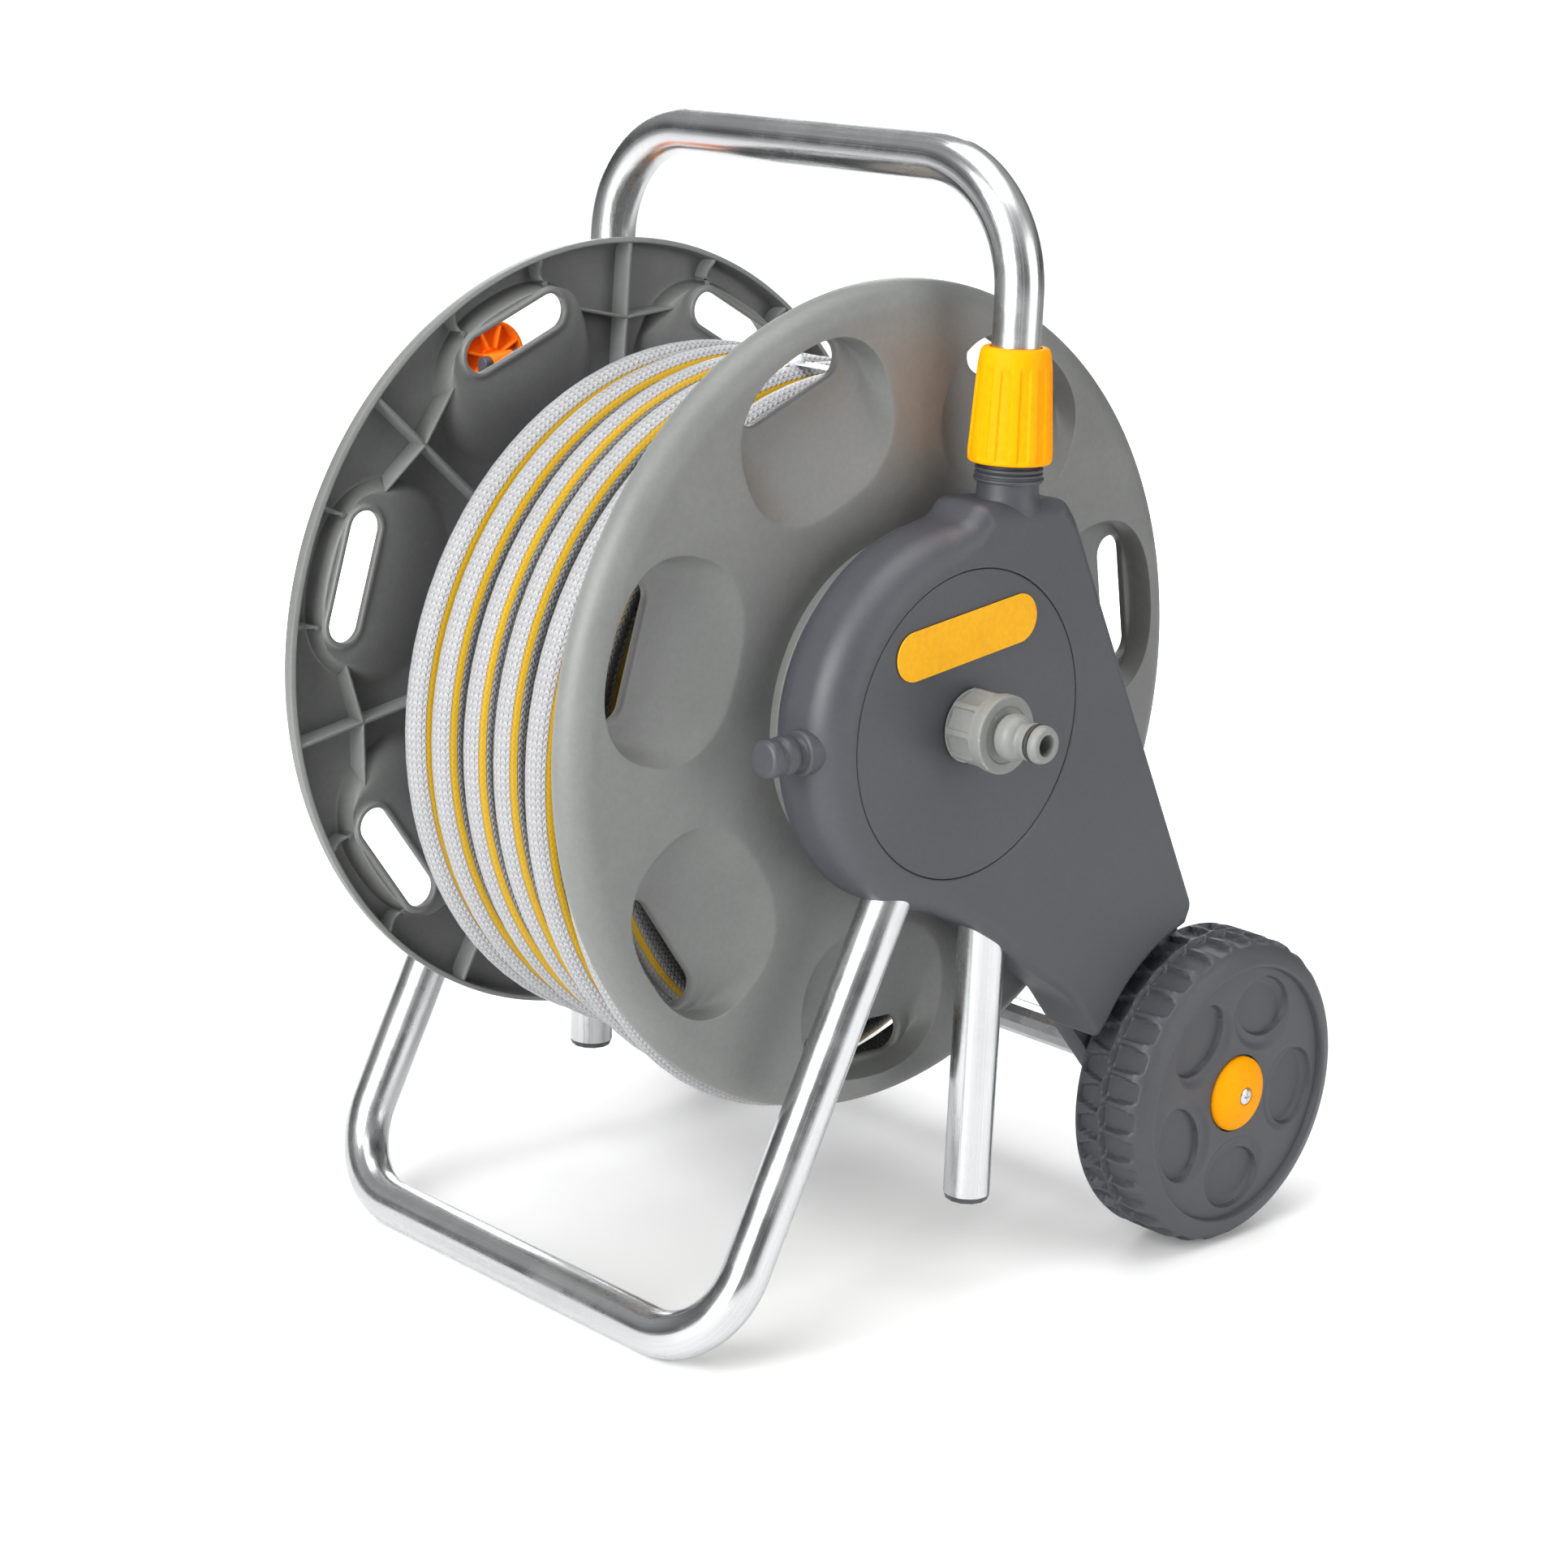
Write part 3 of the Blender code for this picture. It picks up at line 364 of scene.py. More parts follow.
def plated_group():
    """Bright zinc plate: faint lines along the tube, soft clouding, fine scratches and cloudy patches of painted warm
    reflection.
    """
    group, given, out = new_group(
        "Plated tube",
        [("Colour", "NodeSocketColor", (0.8, 0.8, 0.8, 1)), ("Roughness", "NodeSocketFloat", 0.15),
         ("Lines", "NodeSocketFloat", 0.15)],
        [("Colour", "NodeSocketColor"), ("Roughness", "NodeSocketFloat"), ("Normal", "NodeSocketVector")],
    )
    where = add(group, "ShaderNodeTexCoord").outputs["UV"]
    long_lines = add(group, "ShaderNodeMapping", {"Vector": where, "Scale": (3.0, 90.0, 1.0)}).outputs[0]
    rings = add(group, "ShaderNodeMapping", {"Vector": where, "Scale": (240.0, 3.0, 1.0)}).outputs[0]
    spots = add(group, "ShaderNodeTexCoord").outputs["Object"]
    cloud = noise(group, spots, 26.0, 4.0, 0.6)
    line = noise(group, long_lines, 1.0, 3.0, 0.7)
    ring = noise(group, rings, 1.0, 2.0, 0.5)
    speck = noise(group, spots, 700.0, 2.0, 0.5)
    # Painted reflection: cloudy patches mixed towards a warm darker grey stand in for warm reflections in the plate.
    painted_warm_reflection = ramp(group, cloud, 0.52, 0.78, 0.0, 0.35)
    colour = blend_colour(group, painted_warm_reflection, given.outputs["Colour"], (0.54, 0.53, 0.50, 1))
    shade = ramp(group, line, 0.3, 0.7, 0.90, 1.03)
    tone = add(group, "ShaderNodeCombineColor", {0: shade, 1: shade, 2: shade}).outputs[0]
    group.links.new(blend_colour(group, 1.0, colour, tone, "MULTIPLY"), out.inputs["Colour"])
    rough = maths(group, "ADD", given.outputs["Roughness"], ramp(group, cloud, 0.3, 0.75, -0.03, 0.12))
    rough = maths(group, "ADD", rough, ramp(group, line, 0.4, 0.7, -0.02, 0.05))
    group.links.new(rough, out.inputs["Roughness"])
    height = maths(group, "ADD", maths(group, "MULTIPLY", line, 1.0), maths(group, "MULTIPLY", ring, 0.25))
    height = maths(group, "ADD", height, maths(group, "MULTIPLY", speck, 0.15))
    bump = add(group, "ShaderNodeBump", {"Height": height, "Strength": given.outputs["Lines"], "Distance": 0.0002})
    group.links.new(bump.outputs["Normal"], out.inputs["Normal"])
    return group


def group_named(name, maker):
    return bpy.data.node_groups.get(name) or maker()


def material(name):
    """A new material, its tree and its Principled shader."""
    made = bpy.data.materials.new(name)
    made.use_nodes = True
    return made, made.node_tree, made.node_tree.nodes["Principled BSDF"]


def moulding(name, colour, roughness=0.45, grain=0.25, edge_highlight=0.3, coat=0.0, specular=0.5):
    """A moulded plastic finish of one colour."""
    if name in bpy.data.materials:
        return bpy.data.materials[name]
    made, tree, shader = material(name)
    shared = add(tree, "ShaderNodeGroup", node_tree=group_named("Moulded plastic", moulded_group))
    shared.inputs["Colour"].default_value = (*colour, 1.0)
    shared.inputs["Roughness"].default_value = roughness
    shared.inputs["Grain"].default_value = grain
    # How strongly convex edges are lightened as a painted highlight.
    shared.inputs["Painted edge highlight"].default_value = edge_highlight
    tree.links.new(shared.outputs["Colour"], shader.inputs["Base Color"])
    tree.links.new(shared.outputs["Roughness"], shader.inputs["Roughness"])
    tree.links.new(shared.outputs["Normal"], shader.inputs["Normal"])
    shader.inputs["Coat Weight"].default_value = coat
    shader.inputs["Coat Roughness"].default_value = 0.15
    shader.inputs["Specular IOR Level"].default_value = specular
    return made


def plated(name, colour=(0.68, 0.69, 0.70), roughness=0.22, lines=0.15):
    """A bright plated steel finish."""
    if name in bpy.data.materials:
        return bpy.data.materials[name]
    made, tree, shader = material(name)
    shared = add(tree, "ShaderNodeGroup", node_tree=group_named("Plated tube", plated_group))
    shared.inputs["Colour"].default_value = (*colour, 1.0)
    shared.inputs["Roughness"].default_value = roughness
    shared.inputs["Lines"].default_value = lines
    shader.inputs["Metallic"].default_value = 1.0
    tree.links.new(shared.outputs["Colour"], shader.inputs["Base Color"])
    tree.links.new(shared.outputs["Roughness"], shader.inputs["Roughness"])
    tree.links.new(shared.outputs["Normal"], shader.inputs["Normal"])
    return made


def colours():
    return bpy.context.scene.cart_colours


def sizes():
    return bpy.context.scene.cart_sizes


def drum_finish():
    return moulding("drum grey", colours().drum, 0.42, 0.22)


def panel_finish():
    return moulding("panel slate", colours().panel, 0.43, 0.30, 0.0)


def yellow_finish():
    return moulding("yellow", colours().yellow, 0.50, 0.06, 0.0, specular=0.08)


def orange_finish():
    return moulding("orange", colours().orange, 0.50, 0.06, 0.0, specular=0.12)


def connector_finish():
    return moulding("connector grey", colours().connector, 0.40, 0.15, 0.4)


def rubber_finish():
    return moulding("seal rubber", (0.012, 0.012, 0.012), 0.5, 0.3)


def white_finish():
    return moulding("bearing white", (0.72, 0.71, 0.67), 0.4, 0.1)


def tube_finish():
    return plated("zinc tube")


def screw_finish():
    return plated("zinc screw", (0.64, 0.65, 0.67), 0.26, 0.3)


def hose_finish():
    """Knitted hose: chevron stitches under clear plastic, with a yellow line along it, and painted shade on its sides
    and underside.

    U is the length along the hose in metres, V goes once round it.
    """
    made, tree, shader = material("knitted hose")
    where = add(tree, "ShaderNodeSeparateXYZ", {0: add(tree, "ShaderNodeUVMap", uv_map="UVMap").outputs[0]})
    u, v = where.outputs[0], where.outputs[1]
    stitches, stitch_length = 20.0, 0.0031
    column = maths(tree, "FRACT", maths(tree, "MULTIPLY", v, stitches))
    lean = maths(tree, "ABSOLUTE", maths(tree, "SUBTRACT", column, 0.5))
    along = maths(tree, "FRACT", maths(tree, "ADD", maths(tree, "DIVIDE", u, stitch_length), lean))
    yarn = maths(tree, "ABSOLUTE", maths(tree, "SUBTRACT", along, 0.5))
    seam = ramp(tree, lean, 0.36, 0.5)
    coords = add(tree, "ShaderNodeTexCoord").outputs["Object"]
    cloud = noise(tree, coords, 60.0, 3.0, 0.6)
    spark = noise(tree, coords, 900.0, 2.0, 0.6)
    stitch = ramp(tree, yarn, 0.10, 0.42)
    tone = maths(tree, "ADD", maths(tree, "MULTIPLY", stitch, 0.24), maths(tree, "MULTIPLY", spark, 0.18))
    tone = maths(tree, "ADD", tone, maths(tree, "MULTIPLY", cloud, 0.14))
    tone = maths(tree, "SUBTRACT", maths(tree, "ADD", tone, 0.66), maths(tree, "MULTIPLY", seam, 0.22))
    grey = add(tree, "ShaderNodeCombineColor", {0: tone, 1: tone, 2: tone}).outputs[0]
    body = blend_colour(tree, 1.0, (*colours().hose, 1.0), grey, "MULTIPLY")
    # Painted shade: away from its outward face the hose is darkened towards near black, where it lies against the next
    # turns and the layer below.
    painted_turn_shade = maths(tree, "ABSOLUTE", maths(tree, "SUBTRACT", maths(tree, "FRACT", maths(tree, "ADD", v, 0.5)), 0.5))
    painted_turn_shade = ramp(tree, painted_turn_shade, 0.13, 0.27)
    body = blend_colour(tree, painted_turn_shade, body, blend_colour(tree, 0.72, body, (0.05, 0.05, 0.048, 1)))
    wander = maths(tree, "MULTIPLY", maths(tree, "SUBTRACT", cloud, 0.5), 0.006)
    off_line = maths(tree, "ABSOLUTE", maths(tree, "SUBTRACT", maths(tree, "ADD", v, wander), 0.165))
    edge = maths(tree, "SUBTRACT", 1.0, ramp(tree, off_line, 0.033, 0.038))
    line = maths(tree, "SUBTRACT", 1.0, ramp(tree, off_line, 0.026, 0.030))
    # A thin dark brown border on both sides of the line: partly the line's own darker edge, partly painted shade of the
    # crease beside it.
    colour = blend_colour(tree, maths(tree, "MULTIPLY", edge, 0.75), body, (0.30, 0.19, 0.06, 1))
    colour = blend_colour(tree, line, colour, (*colours().stripe, 1.0))
    tree.links.new(colour, shader.inputs["Base Color"])
    height = maths(tree, "SUBTRACT", maths(tree, "MULTIPLY", stitch, 0.8), maths(tree, "MULTIPLY", seam, 0.5))
    height = maths(tree, "ADD", height, maths(tree, "MULTIPLY", spark, 0.3))
    height = maths(tree, "MULTIPLY", height, maths(tree, "SUBTRACT", 1.0, maths(tree, "MULTIPLY", line, 0.8)))
    bump = add(tree, "ShaderNodeBump", {"Height": height, "Strength": 0.65, "Distance": 0.0008})
    tree.links.new(bump.outputs["Normal"], shader.inputs["Normal"])
    tree.links.new(ramp(tree, spark, 0.2, 0.8, 0.30, 0.46), shader.inputs["Roughness"])
    shader.inputs["Coat Weight"].default_value = 0.12
    shader.inputs["Coat Roughness"].default_value = 0.3
    shader.inputs["Specular IOR Level"].default_value = 0.3
    return made


# ---- the wound hose ----
HOSE_LOW, HOSE_HIGH = (np.array(v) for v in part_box("hose_coil"))
HOSE_MIDDLE = (HOSE_LOW + HOSE_HIGH) / 2
HOSE_OUT_R = (HOSE_HIGH - HOSE_LOW)[0] / 2
HOSE_LENGTH = 25.0
TURNS = (7, 6, 6, 7, 6)  # in each layer, from the barrel out
STRIPE_ANGLE = 61.0  # degrees from straight out towards the near cheek


def smooth(x):
    x = np.clip(x, 0, 1)
    return x * x * (3 - 2 * x)


def hose_line():
    """The hose's middle line, its outward directions, and the angle of its stripe at each point.

    The line is a polar curve about the wound pack's middle. It leaves the union along -X on a circle,
    joins the first layer, and runs round with a falling angle. Each turn keeps its own y. Between turns
    it moves along the barrel by a smooth step, and at a layer's end it climbs by one diameter. The last
    turns are slack and hang lower.
    """
    size = sizes()
    diameter = size.hose_diameter
    tail_low, tail_high = (np.array(v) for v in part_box("hose_tail"))
    leave = np.array([tail_low[0] + 0.0095, (tail_low[1] + tail_high[1]) / 2, (tail_low[2] + tail_high[2]) / 2])
    spot = leave - (HOSE_MIDDLE[0], 0, HOSE_MIDDLE[2])
    first_r = HOSE_OUT_R - diameter / 2 - diameter * (size.hose_layers - 1)
    far, near = HOSE_HIGH[1] - 0.0105, HOSE_LOW[1] + 0.0175
    angle = [np.degrees(np.arctan2(spot[2], spot[0])) % 360]
    steps = []
    turn, side = 0, (far, near)
    for layer, count in enumerate(TURNS):
        start, end = side if layer % 2 == 0 else side[::-1]
        places = np.linspace(start, end, count)
        for i in range(count - 1):
            middle_angle = 52.0 - 77.0 * i / (count - 2) - 360.0 * (turn + i)
            steps.append((middle_angle, 28.0, places[i + 1] - places[i], 0.0))
        turn += count - 1
        if layer < len(TURNS) - 1:
            steps.append((25.0 - 360.0 * turn, 27.0, 0.0, diameter))
            turn += 1
    a = np.arange(angle[0], angle[0] - 360.0 * (sum(TURNS) + 1), -4.5)
    y, r = np.full(len(a), far), np.full(len(a), first_r)
    for middle_angle, half, dy, dr in steps:
        share = smooth((middle_angle + half - a) / (2 * half))
        y += dy * share
        r += dr * share
    y += (leave[1] - far) * (1 - smooth((angle[0] - a) / 60))
    outer = smooth((r - (HOSE_OUT_R - 1.6 * diameter)) / diameter)
    y += (0.0002 + 0.0007 * outer) * (np.sin(np.radians(a) * 0.83 + 1.0) + np.sin(np.radians(a) * 0.37))
    bend = 0.0665
    middle_x, middle_z = spot[0], spot[2] + bend
    ux, uz = np.cos(np.radians(a)), np.sin(np.radians(a))
    turn_number = (angle[0] - a) / 360
    r += 0.015 * smooth((turn_number - sum(TURNS) + 3.6) / 3.0) * np.clip(-uz, 0, 1) ** 1.5
    reach = middle_x * ux + middle_z * uz
    lead = reach + np.sqrt(np.maximum(bend ** 2 - middle_x ** 2 - middle_z ** 2 + reach ** 2, 0))
    share = smooth((150.0 - a) / 70.0)
    r = np.where(a > 80, lead * (1 - share) + r * share, r)
    line = np.stack([HOSE_MIDDLE[0] + r * ux, y, HOSE_MIDDLE[2] + r * uz], 1)
    length = np.concatenate([[0], np.cumsum(np.linalg.norm(np.diff(line, axis=0), axis=1))])
    keep = length <= HOSE_LENGTH
    out = np.stack([ux, 0 * ux, uz], 1)[keep]
    lap = (a[keep] + 360.0 * (sum(TURNS) - 1)) / 360.0
    twist = np.radians(STRIPE_ANGLE + 10.0 * np.sin(1.3 * lap + 0.6))
    return line[keep], out, twist, length[keep]


def make_hose():
    line, out, twist, length = hose_line()
    radius = sizes().hose_diameter / 2
    tangent = np.gradient(line, axis=0)
    tangent /= np.linalg.norm(tangent, axis=1)[:, None]
    out = out - tangent * (out * tangent).sum(1)[:, None]
    out /= np.linalg.norm(out, axis=1)[:, None]
    side = np.cross(tangent, out)
    turn = (twist - np.radians(STRIPE_ANGLE))[:, None]
    across, up = out * np.cos(turn) + side * np.sin(turn), side * np.cos(turn) - out * np.sin(turn)
    bore = 0.0063
    count = len(line)
    rows = np.concatenate([[1, 1, 0, 0], np.arange(count), [count - 1, count - 1, count - 2, count - 2]])
    radii = np.concatenate([[1e-6, bore, bore, radius - 0.0006], np.full(count, radius),
                            [radius - 0.0006, bore, bore, 1e-6]])
    radii[4] = radii[-5] = radius - 0.0001
    places = line[rows].copy()
    places[4] += tangent[0] * 0.0006
    places[-5] -= tangent[-1] * 0.0006
    sides = 26
    uv = lambda i, j: (length[rows[np.minimum(i, len(rows) - 1)]], j / sides)
    tube = sweep(places, radii, across[rows], up[rows], sides, uv=uv)
    hose = piece("hose", [tube], hose_finish(), "drum", "hose_coil", outward=False, sharp=60)
    return hose


def tie_finish():
    made, tree, shader = material("clear tie")
    where = add(tree, "ShaderNodeTexCoord").outputs["Object"]
    cloud = noise(tree, where, 300.0, 2.0, 0.5)
    tree.links.new(ramp(tree, cloud, 0.3, 0.7, 0.22, 0.42), shader.inputs["Roughness"])
    shade = ramp(tree, cloud, 0.3, 0.7, 0.66, 0.80)
    tree.links.new(add(tree, "ShaderNodeCombineColor", {0: shade, 1: shade, 2: shade}).outputs[0],
                   shader.inputs["Base Color"])
    shader.inputs["Subsurface Weight"].default_value = 0.3
    shader.inputs["Coat Weight"].default_value = 0.5
    return made


def make_hose_ties():
    """A clear strip round the last turns: a flat band swept round a stadium in the plane of the drum axis."""
    radius = sizes().hose_diameter / 2
    end = hose_line()[0][-40]
    low, high = -0.0700, -0.0486
    a = np.arctan2(end[2] - HOSE_MIDDLE[2], end[0] - HOSE_MIDDLE[0])
    out, along = np.array([np.cos(a), 0, np.sin(a)]), np.array([-np.sin(a), 0, np.cos(a)])
    middle_r = HOSE_OUT_R - radius
    t = 2 * np.pi * np.arange(48) / 48
    half, grow = (high - low) / 2, radius + 0.0006
    y = (low + high) / 2 + np.cos(t) * grow + np.sign(np.cos(t)) * half
    r = middle_r + np.sin(t) * grow
    ring = HOSE_MIDDLE * (1, 0, 1) + out * r[:, None] + np.array([0, 1.0, 0]) * y[:, None]
    centre = HOSE_MIDDLE * (1, 0, 1) + out * middle_r + np.array([0, (low + high) / 2, 0])
    face = ring - centre
    face /= np.linalg.norm(face, axis=1)[:, None]
    section = soften([(-0.0035, 0), (-0.0035, 0.0011), (0.0035, 0.0011), (0.0035, 0)], 0.0006, 3, closed=True)
    band = ring[:, None] + along * section[None, :, :1] + face[:, None] * section[None, :, 1:]
    knot = [(-0.002, 1e-6), (-0.0015, 0.003), (0.001, 0.0042), (0.0035, 0.0034), (0.0046, 0.0015), (0.0048, 1e-6)]
    surfaces = [grid(band, True, True), lathe(soften(knot, 0.0012, 3), ring[12], face[12], 20)]
    return piece("hose_ties", surfaces, tie_finish(), "drum")


# ---- the drum's cheeks ----
FACE_Y = 0.106
LIP_Y = float(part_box("flange_far")[0][1])
HUB_RING_R = 0.0785
HUB_RING_Y = float(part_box("flange_far")[1][1])
RIM_FACE_R = FLANGE_R - 0.0120
FIRST_POCKET = np.radians(113.6)
POCKET_MID, POCKET_HALF = 0.140, np.array([0.0370, 0.0455])
FLOOR_MID, FLOOR_HALF = 0.1605, np.array([0.0125, 0.0365])
FLOOR_Y = 0.0945
SLOT_MID, SLOT_HALF = 0.1625, np.array([0.0085, 0.0310])
HUB_STEPS, SPOKE_STEPS = 24, 22


def rounded(t, half, power=2.4):
    """A superellipse: half size times the signed power of cos t and sin t."""
    c, s = np.cos(t), np.sin(t)
    shape = np.stack([np.sign(c) * np.abs(c) ** (2 / power), np.sign(s) * np.abs(s) ** (2 / power)], -1)
    return shape * half


def slot_outline(fraction, grow=0.0):
    """A point of a slot with round ends at a share of its length, from its inner middle, as (out, round)."""
    wide, tall = SLOT_HALF + grow
    lift = tall - wide
    total = 4 * lift + 2 * np.pi * wide
    s = (fraction % 1) * total
    parts = [lift, lift + np.pi * wide, 3 * lift + np.pi * wide, 3 * lift + 2 * np.pi * wide]
    a = (s - parts[0]) / wide
    b = (s - parts[2]) / wide
    x = np.select([s < parts[0], s < parts[1], s < parts[2], s < parts[3]],
                  [-wide, -wide * np.cos(a), wide, wide * np.cos(b)], -wide)
    y = np.select([s < parts[0], s < parts[1], s < parts[2], s < parts[3]],
                  [-s, -lift - wide * np.sin(a), s - parts[1] - lift, lift + wide * np.sin(b)], total - s)
    return np.stack([x, y], -1)


def sector_edge(inner, outer):
    """The outline of one pocket's share of the cheek, as (out, round), from the middle of its inner arc."""
    half = np.pi / sizes().pocket_count
    arc_in = np.linspace(0, -half, HUB_STEPS + 1)[:-1]
    spoke = np.linspace(inner, outer, SPOKE_STEPS + 1)[:-1]
    arc_out = np.linspace(-half, half, 2 * HUB_STEPS + 1)[:-1]
    spoke_back = np.linspace(outer, inner, SPOKE_STEPS + 1)[:-1]
    arc_back = np.linspace(half, 0, HUB_STEPS + 1)[:-1]
    a = np.concatenate([arc_in, 0 * spoke - half, arc_out, 0 * spoke_back + half, arc_back])
    r = np.concatenate([0 * arc_in + inner, spoke, 0 * arc_out + outer, spoke_back, 0 * arc_back + inner])
    return np.stack([r * np.cos(a), r * np.sin(a)], -1)


def pocket_sheet(face, floor, edge, mouth_grow, edge_soft, slot_rows):
    """Rows of (out, round, y) from a slot out to the sector's edge.

    Between the floor's outline and the mouth's, the depth follows a cosine of the share of the way.
    Past the mouth it is carried on as a straight slope v, and y = face - (v + sqrt(v^2 + soft^2)) / 2.
    """
    pocket = np.array([POCKET_MID, 0])
    centred = (edge - pocket) / POCKET_HALF
    t = np.arctan2(centred[:, 1], centred[:, 0]) % (2 * np.pi)
    mouth = rounded(t, POCKET_HALF + mouth_grow) + pocket
    bottom = rounded(t, FLOOR_HALF + mouth_grow) + (FLOOR_MID, 0)
    dense_t = np.pi + 2 * np.pi * np.arange(721) / 720
    dense = rounded(dense_t, FLOOR_HALF)
    walked = np.concatenate([[0], np.cumsum(np.linalg.norm(np.diff(dense, axis=0), axis=1))])
    share = np.interp((t - np.pi) % (2 * np.pi), dense_t - np.pi, walked / walked[-1])
    rows = [np.column_stack([slot_outline(share, grow) + (SLOT_MID, 0), np.full(len(t), y)]) for grow, y in slot_rows]
    start = rows[-1][:, :2]
    for k in (0.35, 0.7):
        rows.append(np.column_stack([start * (1 - k) + bottom * k, np.full(len(t), floor)]))
    depth = face - floor
    span = np.linalg.norm(mouth - bottom, axis=1)
    for s in 1 - (1 - np.linspace(0, 1, 19)) ** 1.5:
        v = depth * np.cos(np.pi / 2 * s)
        y = face - (v + np.sqrt(v * v + edge_soft ** 2)) / 2
        rows.append(np.column_stack([bottom * (1 - s) + mouth * s, np.full(len(t), y)]))
    for k in (0.02, 0.05, 0.1, 0.18, 0.3, 0.5, 0.75, 1.0):
        way = np.linalg.norm(edge - mouth, axis=1) * k
        v = -np.pi / 2 * depth / span * way
        y = face - (v + np.sqrt(v * v + edge_soft ** 2)) / 2 if k < 1 else np.full(len(t), face)
        rows.append(np.column_stack([mouth * (1 - k) + edge * k, y]))
    return np.stack(rows)


def put_round(points, angle):
    """(out, round, y) points turned to an angle about the drum axis, in the row frame."""
    out, around = np.array([np.cos(angle), 0, np.sin(angle)]), np.array([-np.sin(angle), 0, np.cos(angle)])
    return DRUM + points[..., :1] * out + points[..., 1:2] * around + points[..., 2:] * np.array([0, 1.0, 0])


def wall_between(line, low, high, thick):
    """A thin upright web along a line of (out, round) points, its free edge rounded, with closed ends."""
    line = np.asarray(line, float)
    ahead = np.gradient(line, axis=0)
    ahead /= np.linalg.norm(ahead, axis=1)[:, None]
    side = np.stack([-ahead[:, 1], ahead[:, 0]], 1)
    low, high = (np.broadcast_to(v, len(line)) for v in (low, high))
    h, e = thick / 2, 0.0006
    shape = [(-h, 1, 0), (-h, 0, e), (-h * 0.7, 0, e * 0.3), (-h * 0.25, 0, 0), (h * 0.25, 0, 0),
             (h * 0.7, 0, e * 0.3), (h, 0, e), (h, 1, 0)]
    rings = np.stack([
        np.column_stack([line + side * offset, np.where(top, high, low + lift)]) for offset, top, lift in shape
    ], 1)
    ends = [np.broadcast_to(rings[i].mean(0), rings[i].shape)[None] for i in (0, -1)]
    return np.concatenate([ends[0], rings, ends[1]])


def cheek_surfaces():
    skin = sizes().skin
    count = sizes().pocket_count
    half = np.pi / count
    inner_face, inner_floor = FACE_Y - skin, FLOOR_Y - skin
    collar_y = LIP_Y - 0.0016
    rim_in = FLANGE_R - 0.0085
    lip = 0.0016
    outer_rows = [(0, FLOOR_Y - lip)] + [
        (lip * (1 - np.cos(q)), FLOOR_Y - lip * (1 - np.sin(q))) for q in np.radians((30, 55, 75, 90))]
    inner_rows = [(0, FLOOR_Y - lip), (0, collar_y + 0.0006), (0.0002, collar_y + 0.0002), (0.0006, collar_y),
                  (0.0016, collar_y), (0.0021, collar_y + 0.0002), (0.0023, collar_y + 0.0006),
                  (0.0025, inner_floor - 0.0006), (0.0034, inner_floor)]
    outside = pocket_sheet(FACE_Y, FLOOR_Y, sector_edge(HUB_RING_R, RIM_FACE_R), 0.0, 0.0005, outer_rows)
    inside = pocket_sheet(inner_face, inner_floor, sector_edge(HUB_RING_R, rim_in), 0.0022, 0.0012, inner_rows)
    surfaces = []
    for k in range(count):
        angle = FIRST_POCKET + 2 * np.pi * k / count
        surfaces.append(grid(put_round(outside, angle), wrap_v=True))
        surfaces.append(flipped(grid(put_round(inside, angle), wrap_v=True)))
        line = np.stack([np.linspace(0.0625, FLANGE_R - 0.0020, 40), np.zeros(40)], 1)
        surfaces.append(grid(put_round(wall_between(line, LIP_Y + 0.0008, skin_back(line[:, 0]), 0.0020),
                                       angle + half), wrap_v=True))
        for sign in (-1, 1):
            surfaces.append(grid(put_round(web_to_slot(sign, half), angle), wrap_v=True))
            surfaces.append(grid(put_round(gusset(sign), angle), wrap_v=True))
    sides = 2 * HUB_STEPS * count
    start = np.pi / 2 - (FIRST_POCKET - half)
    bends = np.radians(np.linspace(0, 90, 13))
    drop = FACE_Y - LIP_Y - 0.0022
    rim = [(inner_face, rim_in)]
    rim += soften([(inner_face, rim_in), (inner_face - 0.0008, FLANGE_R - 0.0034), (LIP_Y + 0.002, FLANGE_R - 0.0026),
                   (LIP_Y, FLANGE_R - 0.0026), (LIP_Y, FLANGE_R)], [0, 0.003, 0.001, 0.0008, 0.0008],
                  4)[1:-1].tolist()
    rim += [(LIP_Y + 0.0008, FLANGE_R)]
    rim += [(FACE_Y - drop * (1 - np.cos(q)), FLANGE_R - (FLANGE_R - RIM_FACE_R) * (1 - np.sin(q))) for q in bends[::-1]]
    ring_y = FACE_Y + 0.4 * (HUB_RING_Y - FACE_Y)
    hub = [(inner_face, HUB_RING_R), (inner_face, 0.060), (inner_face, 0.0205), (FACE_Y, 0.0205)]
    hub += soften([(FACE_Y, 0.0205), (FACE_Y, HUB_RING_R - 0.0024), (ring_y, HUB_RING_R - 0.0020),
                   (ring_y, HUB_RING_R - 0.0002), (FACE_Y, HUB_RING_R)], [0, 0.0008, 0.0008, 0.0008, 0],
                  4)[1:].tolist()
    surfaces.append(lathe(rim, DRUM, sides=sides, start=start))
    surfaces.append(lathe(hub, DRUM, sides=sides, start=start))
    return surfaces


def skin_back(r):
    """The height that a web's top reaches inside the skin, which rounds over at the rim."""
    lean = np.clip(1 - (FLANGE_R - r) / (FLANGE_R - RIM_FACE_R), 0, 1)
    return FACE_Y - 0.0013 - (FACE_Y - LIP_Y - 0.0022) * (1 - np.sqrt(1 - lean ** 2))


